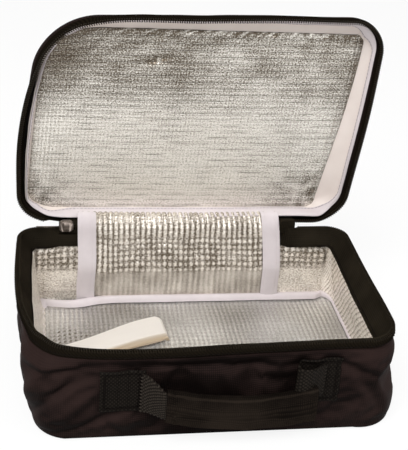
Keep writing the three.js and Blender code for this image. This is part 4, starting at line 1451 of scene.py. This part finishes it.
def buildLidZip():
    slot = lidShape["sliderSlot"]
    along = steps(rearGap + 1, around - rearGap - 1, alongStep)[None, :]
    profile = np.array(lidShape["tape"])
    inset, h = profile[:, :1], profile[:, 1:]
    taper = 1 - (h - 0.4) / 10
    over = lidShape["overSlider"] * (1 - ramp(along, slot - 3, slot))
    over = over + lidShape["overTab"] * (1 - ramp(around - along, tabEnd - 3, tabEnd))
    points = lidRing(along, inset - lidShape["rearHang"] * rearShare(along), h + over * taper)[0]
    tape = clothMesh("zip_tape_lid_half", points, flatGrid(along, h), zipShape["tape"], zipCloth)
    settle(tape, "lid", "zip_tape", "zip_tape_lid")
    teethAlong = steps(slot, around - tabEnd - 0.3, alongStep)
    hang = lidShape["rearHang"] * rearShare(teethAlong)
    line, normal = lidRing(teethAlong, zipShape["coilInset"] - hang, zipShape["coilDrop"])
    out = np.stack([normal[:, 0], np.zeros(len(normal)), -normal[:, 1]], 1)
    teeth = repeatAlong("zip_teeth_lid", [(line[::-1], out[::-1])], toothUnit, zipShape["toothPitch"], nylon)
    settle(teeth, "lid", "zip_coil", "zip_coil_lid")


buildLidShell()
buildLidLiner()
buildLidBinding()
buildLidFoil()
buildLidZip()
print("lid ready")


# Handle
handleShape = {
    "yarn": 1.35,  # coarser than the real webbing, so that its weave shows
    "yarnDepth": 0.6,
    "step": 0.42,
    "patch": 1.2,
    "patchSeam": 3.0,
    "stitchPitch": 2.6,
    "cloth": {"frames": 14, "quality": 5, "bending": 0.5, "spare": 0.02, "pressure": 0.8, "cap": 0.8},
    "sleeve": 1.4,
    "sleeveHeight": 23.0,
    "sleeveThick": 7.0,
    "sleeveDrop": 0.75,
    "sleeveSeam": 4.0,
    "bow": 6.5,
    "tilt": -1.0,
    "webHalf": (15.0, 9.0),  # the left web, at its patch and in the sleeve
    "patchShift": {"left": (3.0, 1.6), "right": (3.0, 4.0)},  # sideways and up
    "sleeveOver": (-1.8, 3.5),  # the sleeve reaches this far over the webs, left and right
}
towardsFront = np.array([0.0, -1.0, 0.0])


# Basket weave: yarns pass over and under in turn; gives their height and a painted highlight for the ones on
# top
def basketWeave(u, v):
    a, b = u / handleShape["yarn"], v / handleShape["yarn"]
    over = (np.floor(a) + np.floor(b)) % 2
    acrossA, acrossB = np.abs(np.sin(math.pi * a)), np.abs(np.sin(math.pi * b))
    crown = np.where(over > 0.5, acrossA, acrossB) ** 0.6
    return crown, np.where(over > 0.5, 1.0, 0.25) * (acrossA * acrossB) ** 0.8


def frontSurface(x, z, lift):
    spot = wallFace(frontMiddle + np.asarray(x, float), np.asarray(z, float))[0]
    return spot + towardsFront * np.asarray(lift)[..., None]


# How far forward the front's face is at one place
def frontY(x, z, lift):
    return frontSurface(np.full(1, x), np.full(1, z), np.full(1, lift))[0, 1]


def boxStitchLines(corners, lift):
    lines = []
    share = np.linspace(0, 1, 12)
    for (xa, za), (xb, zb) in zip(corners, corners[1:]):
        line = frontSurface(xa + (xb - xa) * share, za + (zb - za) * share, np.full(len(share), lift))
        lines.append((line, towardsFront))
    return lines


def patchBox(side):
    low, high = sides("handle_anchor_" + side)
    across, up = handleShape["patchShift"][side]
    shift = np.array([across, 0, up])
    return low + shift, high + shift


def buildAnchors():
    step, inset = handleShape["step"], handleShape["patchSeam"]
    for side in ("left", "right"):
        low, high = patchBox(side)
        columns, rows = steps(low[0], high[0], step), steps(low[2], high[2], step)
        x, z = np.broadcast_arrays(columns[None, :], rows[:, None])
        near = np.minimum(toEdge(x, low[0], high[0]), toEdge(z, low[2], high[2]))
        sewn = bell(near, inset, 0.8)
        crown, tone = basketWeave(x, z)
        lift = 1.3 * np.clip(near / 0.8, 0.2, 1) ** 0.5 + handleShape["yarnDepth"] * crown - 0.5 * sewn
        # the patch's painted highlights are weaker, and darker still in the sewn groove as painted shade
        tone = tone * (0.5 - 0.3 * sewn)
        points, flat = frontSurface(x, z, lift), flatGrid(x, z)
        patch = clothMesh("web_patch_" + side, points, flat, handleShape["patch"], webbing, tone=tone)
        settle(patch, "base", "webbing", "handle_anchor_" + side)
        x0, x1, z0, z1 = low[0] + inset, high[0] - inset, low[2] + inset, high[2] - inset
        lines = boxStitchLines([(x0, z0), (x1, z0), (x1, z1), (x0, z1), (x0, z0)], 1.3)
        pitch = handleShape["stitchPitch"]
        sew("web_patch_stitches_" + side, lines, pitch, blackThread, "base", "webbing")


gripLow, gripHigh = sides("handle_grip")
gripLow[0] -= handleShape["sleeveOver"][0]
gripHigh[0] += handleShape["sleeveOver"][1]
gripMiddleX, gripY, gripMiddleZ = (gripLow + gripHigh) / 2
gripMiddleZ -= handleShape["sleeveDrop"]
gripHalf = (gripHigh[0] - gripLow[0]) / 2
handleZ = joints["handle_swing"]["pos_m"][2]
# Two places about the handle's axis, one above and one below it
sleeveFold = ((0, 0, handleZ + 6.5 * mm), (0, 0, handleZ - 2 * mm))
baseAndHandle = ("base", "handle")


def gripLine(x):
    share = (x - gripMiddleX) / gripHalf
    return gripMiddleZ + handleShape["bow"] * share**2 + handleShape["tilt"] * share


def buildGrip():
    x = steps(gripLow[0], gripHigh[0], 1.2)[None, :]
    turn = np.linspace(0, 2 * math.pi, 64, endpoint=False)
    share = (x - gripMiddleX) / gripHalf
    wide = handleShape["sleeveThick"] / 2 * (1 + 0.1 * np.sin(x / 9.0))
    wide = wide * (1 - 0.15 * ramp(np.abs(share), 0.88, 1.0))
    tall = handleShape["sleeveHeight"] / 2 * (1 - 0.05 * (1 - share**2) + 0.05 * share)
    c, s = np.cos(turn)[:, None], np.sin(turn)[:, None]
    flatten = lambda a: np.sign(a) * np.abs(a) ** 0.5
    y = gripY - flatten(c) * wide + 0.7 * noiseField(x, turn[:, None] * 6, 13, 4.9)
    z = gripLine(x) + flatten(s) * tall
    y = y + 1.1 * bell(z, gripLine(x) - 3.5, 1.3) * (c > 0) * ramp(x, 24, -14)  # a crease along its left half
    points = np.transpose(np.stack([np.broadcast_to(x, y.shape), y, z], -1), (1, 0, 2))
    held = np.zeros(points.shape[:2], bool)
    held[[0, 1, -2, -1]] = True
    points = points + wrinkle(points, held, True, handleShape["cloth"])
    fold = bell(turn, 1.2, 0.13)[None, :]  # along the top, where it is painted lighter as a highlight
    # painted shade by slope, and a painted highlight along the top edge
    tone = 0.5 * slopeShade(points, True) + 0.03 + 0.42 * fold
    flat = flatGrid(x.T, (turn * 9)[None, :])
    grip = clothMesh("grip_sleeve", points, flat, handleShape["sleeve"], sleeveCloth, wrap=True, tone=tone)
    settleBetween(grip, baseAndHandle, sleeveFold, "outer_fabric", "handle_grip", "handle_core")
    lines = []
    rise = np.linspace(-8, 8, 10)
    face = gripY - handleShape["sleeveThick"] / 2 + 0.1
    for end in (gripLow[0] + handleShape["sleeveSeam"], gripHigh[0] - handleShape["sleeveSeam"]):
        seam = np.stack([np.full(10, end), np.full(10, face), gripLine(end) + rise], 1)
        lines.append((seam, towardsFront))
    stitches = repeatAlong("grip_stitches", lines, stitchUnit, handleShape["stitchPitch"], blackThread)
    settleBetween(stitches, baseAndHandle, sleeveFold, "outer_fabric")


# The left web runs from its patch down into the sleeve
def buildLeftWeb():
    low, high = patchBox("left")
    rootX, gripX = high[0] - 3.0, gripLow[0] + 6.0
    share = steps(0, 1, handleShape["step"] / (gripX - rootX))[:, None]
    across = steps(-1, 1, handleShape["step"] / 14)[None, :]
    ease = ramp(share, 0, 1)
    rootHalf = handleShape["webHalf"][0]
    half = between(*handleShape["webHalf"], ease)
    z = between((low[2] + high[2]) / 2, gripLine(gripX), ease) + half * across
    x = between(rootX, gripX, share)
    length = (gripX - rootX) * share * 1.2
    crown, tone = basketWeave(length + 0 * across, across * rootHalf + 0 * share)
    y = between(frontY(rootX, 38.0, 1.6), gripY - 0.6, ease) - handleShape["yarnDepth"] * crown
    y = y - 1.2 * np.sin(math.pi * share) * (1 - across**2)
    points = np.stack(np.broadcast_arrays(x, y, z), -1)
    web = clothMesh("web_end_left", points, flatGrid(length, across * rootHalf), 1.6, webbing, tone=tone)
    settleBetween(web, baseAndHandle, sleeveFold, "webbing", "handle_web_left")


# The right web is slack: it stands up in a loop over its patch and goes down into the sleeve
def buildRightWeb():
    high = patchBox("right")[1]
    rootX = high[0] - 12.0
    rootY = frontY(rootX, 48.0, 2.2)
    path = [
        (rootX, rootY),
        (rootX - 4.0, rootY - 1.6),
        (rootX - 10.5, gripY + 1.2),
        (rootX - 16.5, gripY + 0.4),
        (rootX - 18.6, gripY + 2.0),
        (rootX - 17.8, gripY + 4.2),
    ]
    line, tangent, run = smoothLine(path, handleShape["step"])
    run = run[:, None]
    top = high[2] - 0.4 + 1.6 * run / run[-1]
    z = between(high[2] - 26.0, top, np.linspace(0, 1, 60)[None, :])
    crown, tone = basketWeave(run + 0 * z, z)
    outward = np.stack([tangent[:, 1], -tangent[:, 0]], 1)
    outward = outward * np.where(outward[:1, 1:] > 0, -1, 1)
    spot = line[:, None, :] + outward[:, None, :] * (handleShape["yarnDepth"] * crown)[..., None]
    points = np.concatenate([spot, z[..., None]], -1)
    web = clothMesh("web_end_right", points, flatGrid(run, z), 1.4, webbing, flip=True, tone=0.6 * tone)
    settleBetween(web, baseAndHandle, sleeveFold, "webbing", "handle_web_right")


buildAnchors()
buildGrip()
buildLeftWeb()
buildRightWeb()
print("handle ready")


# Elastic strap
strapShape = {
    "width": 25.0,
    "sewnShare": 0.78,  # how wide it still is at the sewn end
    "cloth": 1.3,
    "gap": 5.4,
    "length": 92.8,
    "sway": (-9.0, -3.6),  # sideways, at the sewn end and at the fold
    "skew": 0.19,  # the fold isn't square to the strap
    "cornerRound": 0.15,
    "cornerFrom": 8.5,
    "curl": 4.4,  # the upper layer's near edge turns down
    "sag": 0.18,
    # the strap's turned-down near edge is painted tan as shade
    "edgeShade": 0.75,
    "patch": 1.6,
}


def buildStrap():
    root = np.array(joints["strap_lift"]["pos_m"]) / mm
    axis = np.array(joints["strap_lift"]["axis"])
    along = np.array([-axis[1], axis[0], 0.0])
    length, gap = strapShape["length"], strapShape["gap"]
    low = sides("elastic_loop")[0][2] + strapShape["cloth"]
    path = [
        (0.0, low - 0.2),
        (length * 0.3, low - 0.1),
        (length * 0.7, low + 0.2),
        (length - 7, low + 0.1),
        (length - 1.8, low + 1.2),
        (length, low + gap * 0.5),
        (length - 1.8, low + gap * 0.9),
        (length - 6, low + gap + 0.2),
        (length * 0.72, low + gap + 0.6),
        (length * 0.4, low + gap * 0.62),
        (length * 0.15, low + 2.6),
        (0.0, low + 1.3),
    ]
    line, run = smoothLine(path, 1.2)[::2]
    side = np.array([-along[1], along[0], 0.0])
    ahead = np.clip(line[:, :1] / length, 0, 1)
    half = strapShape["width"] / 2 * between(strapShape["sewnShare"], 1, np.minimum(ahead / 0.8, 1))
    across = steps(-1, 1, 0.05)[None, :] * half
    sway = between(*strapShape["sway"], ahead)
    spot = np.array([root[0], root[1], 0.0]) + along * line[:, :1] + np.array([0, 0, 1.0]) * line[:, 1:]
    points = spot[:, None, :] + side * (across + sway)[..., None]
    rounded = strapShape["cornerRound"] * np.maximum(across - strapShape["cornerFrom"], 0) ** 2
    shift = strapShape["skew"] * across - rounded
    points = points + along * (shift * ramp(ahead, 0.55, 0.95))[..., None]
    upper = ramp(line[:, 1:], low + 1.2, low + 3)
    points[..., 2] += 0.25 * noiseField(run[:, None], across, 22, 3.8)
    points[..., 2] -= upper * strapShape["sag"] * np.maximum(across, 0) * (1 - ahead)
    nearEdge = -across / half
    points[..., 2] -= strapShape["curl"] * upper * ramp(nearEdge, 0.8, 1.0) * ramp(ahead, 0.2, 0.6)
    # painted shade on the turned-down near edge
    tone = strapShape["edgeShade"] * ramp(nearEdge, 0.78, 0.92)
    flat = flatGrid(run[:, None], across)
    strap = clothMesh("elastic_strap", points, flat, strapShape["cloth"], elasticKnit, tone=tone)
    settle(strap, "strap", "elastic", "elastic_loop")

    low, high = sides("strap_patch")
    x, y = panelGrid(low[0], high[0], low[1], high[1], 1.0, 0.7)
    points = np.stack([x, y, high[2] - 0.3 + 0.2 * np.sin(y * 2.4)], -1)
    patch = clothMesh("strap_sewn_end", points, flatGrid(x, y), strapShape["patch"], elasticKnit)
    settle(patch, "base", "elastic", "strap_patch")


buildStrap()
print("strap ready")


# Zip end tab, slider and pull
endShape = {
    "tab": 3.6,
    # the slider rides up where the tape bends to the hinge
    "shift": {"slider": (-3.5, 0.0, 3.0), "pull": (-3.5, 0.0, -2.0)},
    "bevel": {"slider": 0.5, "pull": 0.35},
    "endTaper": 0.5,
    "endCuts": 7,
}


# The slider gets lower towards both ends
def roundEnds(cast, low, high):
    lengthwise = [edge for edge in cast.edges if abs(edge.verts[0].co.x - edge.verts[1].co.x) > 4 * mm]
    bmesh.ops.subdivide_edges(cast, edges=lengthwise, cuts=endShape["endCuts"])
    middle = (Vector(low) + Vector(high)) / 2
    reach = high[0] - middle.x
    for vert in cast.verts:
        toEnd = abs(vert.co.x - middle.x) / reach
        vert.co.z = middle.z + (vert.co.z - middle.z) * (1 - endShape["endTaper"] * toEnd**3)


def buildZipEnds():
    x, z = panelGrid(tabLow[0] - 4, tabHigh[0] - 2, tabLow[2] + 2, tabHigh[2] + 4, 1.0, 0.7)
    points = np.stack([x, tabHigh[1] + 0.4 * noiseField(x, z, 6, 2.5), z], -1)
    tab = clothMesh("zip_end_cloth", points, flatGrid(x, z), endShape["tab"], facingCloth, flip=True)
    settle(tab, "base", "outer_fabric", "zip_end_tab")
    for node, body in (("zip_slider", "slider"), ("zip_pull", "pull")):
        cast = bmesh.new()
        cast.from_mesh(frame["nodes"][node].data)
        bmesh.ops.remove_doubles(cast, verts=cast.verts, dist=0.02 * mm)
        bmesh.ops.dissolve_limit(cast, angle_limit=math.radians(4), verts=cast.verts, edges=cast.edges)
        if node == "zip_slider":
            roundEnds(cast, *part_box(node))
        corners = [edge for edge in cast.edges if edge.calc_face_angle(0) > math.radians(35)]
        bevel = endShape["bevel"][body] * mm
        bmesh.ops.bevel(cast, geom=corners, offset=bevel, segments=3, affect="EDGES", clamp_overlap=True)
        bmesh.ops.triangulate(cast, faces=cast.faces)
        mesh = bpy.data.meshes.new(node + "_cast")
        bmesh.ops.translate(cast, verts=cast.verts, vec=Vector(endShape["shift"][body]) * mm)
        cast.to_mesh(mesh)
        cast.free()
        mesh.polygons.foreach_set("use_smooth", [True] * len(mesh.polygons))
        mesh.set_sharp_from_angle(angle=math.radians(40))
        mesh.materials.append(zinc)
        settle(addObject(node + "_cast", mesh), body, "slider_metal", node)


buildZipEnds()
for unit in (stitchUnit, toothUnit):
    bpy.data.objects.remove(unit)
print("zip ends ready")


# Floor, light and camera
stageLook = {
    "floor": "#ffffff",
    "glow": 0.86,
    "sky": (1, 0.985, 0.965, 1),
    "world": 0.4,
    # power, size and place
    "softboxes": {"key": (28.0, 1.1, (-0.55, -0.9, 1.5)), "fill": (8.0, 1.4, (1.1, -0.5, 1.2))},
    "aim": (0, 0, 0.1),
}


# Seen by the eye or in a mirror, by this share it is plain white
def paleWhenSeen(tree, lit, white, output, share=1.0):
    path = addNode(tree, "ShaderNodeLightPath").outputs
    seen = calculate(tree, "MAXIMUM", path["Is Camera Ray"], path["Is Glossy Ray"])
    seen = calculate(tree, "MAXIMUM", seen, path["Is Transmission Ray"])
    seen = calculate(tree, "MULTIPLY", seen, share)
    pale = addNode(tree, white, {"Color": (1, 1, 1, 1), "Strength": 1.0})
    both = addNode(tree, "ShaderNodeMixShader", {0: seen, 1: lit.outputs[0], 2: pale.outputs[0]})
    tree.links.new(both.outputs[0], tree.nodes[output].inputs["Surface"])


def buildStage():
    bpy.ops.mesh.primitive_plane_add(size=12, location=(0, 0, -0.0004))
    floor = bpy.context.object
    floor.name = "studio_floor"
    material, tree = startMaterial("white_paper_floor", stageLook["floor"], 0.9)
    shader = tree.nodes["Principled BSDF"]
    paleWhenSeen(tree, shader, "ShaderNodeEmission", "Material Output", stageLook["glow"])
    floor.data.materials.append(material)

    world = bpy.data.worlds.new("studio")
    bpy.context.scene.world = world
    world.use_nodes = True
    sky = world.node_tree.nodes["Background"]
    sky.inputs["Color"].default_value = stageLook["sky"]
    sky.inputs["Strength"].default_value = stageLook["world"]
    paleWhenSeen(world.node_tree, sky, "ShaderNodeBackground", "World Output")

    for name, (power, size, place) in stageLook["softboxes"].items():
        lamp = bpy.data.lights.new(name + "_softbox", "AREA")
        lamp.energy = power
        lamp.size = size
        holder = addObject(name + "_softbox", lamp)
        holder.location = place
        towards = Vector(stageLook["aim"]) - Vector(place)
        holder.rotation_euler = towards.to_track_quat("-Z", "Y").to_euler()


# The camera, as fitted to the photograph's edges: degrees, millimetres, and a focal length in pixels
cameraFit = {
    "yaw": 11.63,
    "pitch": 28.44,
    "roll": 5.34,
    "place": (-128.4, -614.4, 456.3),
    "focalPixels": 1021.7,
    "framePixels": 450,
    "sensor": 36.0,
}


def buildCamera():
    yaw, pitch, roll = (math.radians(cameraFit[k]) for k in ("yaw", "pitch", "roll"))
    ahead = Vector((math.sin(yaw) * math.cos(pitch), math.cos(yaw) * math.cos(pitch), -math.sin(pitch)))
    right = Vector((math.cos(yaw), -math.sin(yaw), 0))
    up = right.cross(ahead)
    tiltedRight = right * math.cos(roll) + up * math.sin(roll)
    tiltedUp = up * math.cos(roll) - right * math.sin(roll)
    data = bpy.data.cameras.new("photo_camera")
    data.sensor_width = cameraFit["sensor"]
    data.lens = cameraFit["focalPixels"] / cameraFit["framePixels"] * cameraFit["sensor"]
    data.clip_start = 0.01
    camera = addObject("photo_camera", data)
    axes = Matrix((tiltedRight, tiltedUp, -ahead)).transposed().to_4x4()
    camera.matrix_world = Matrix.Translation(Vector(cameraFit["place"]) * mm) @ axes
    bpy.context.scene.camera = camera


buildStage()
buildCamera()
bpy.context.scene.view_settings.view_transform = "Standard"
print("stage ready")

bpy.context.view_layer.update()
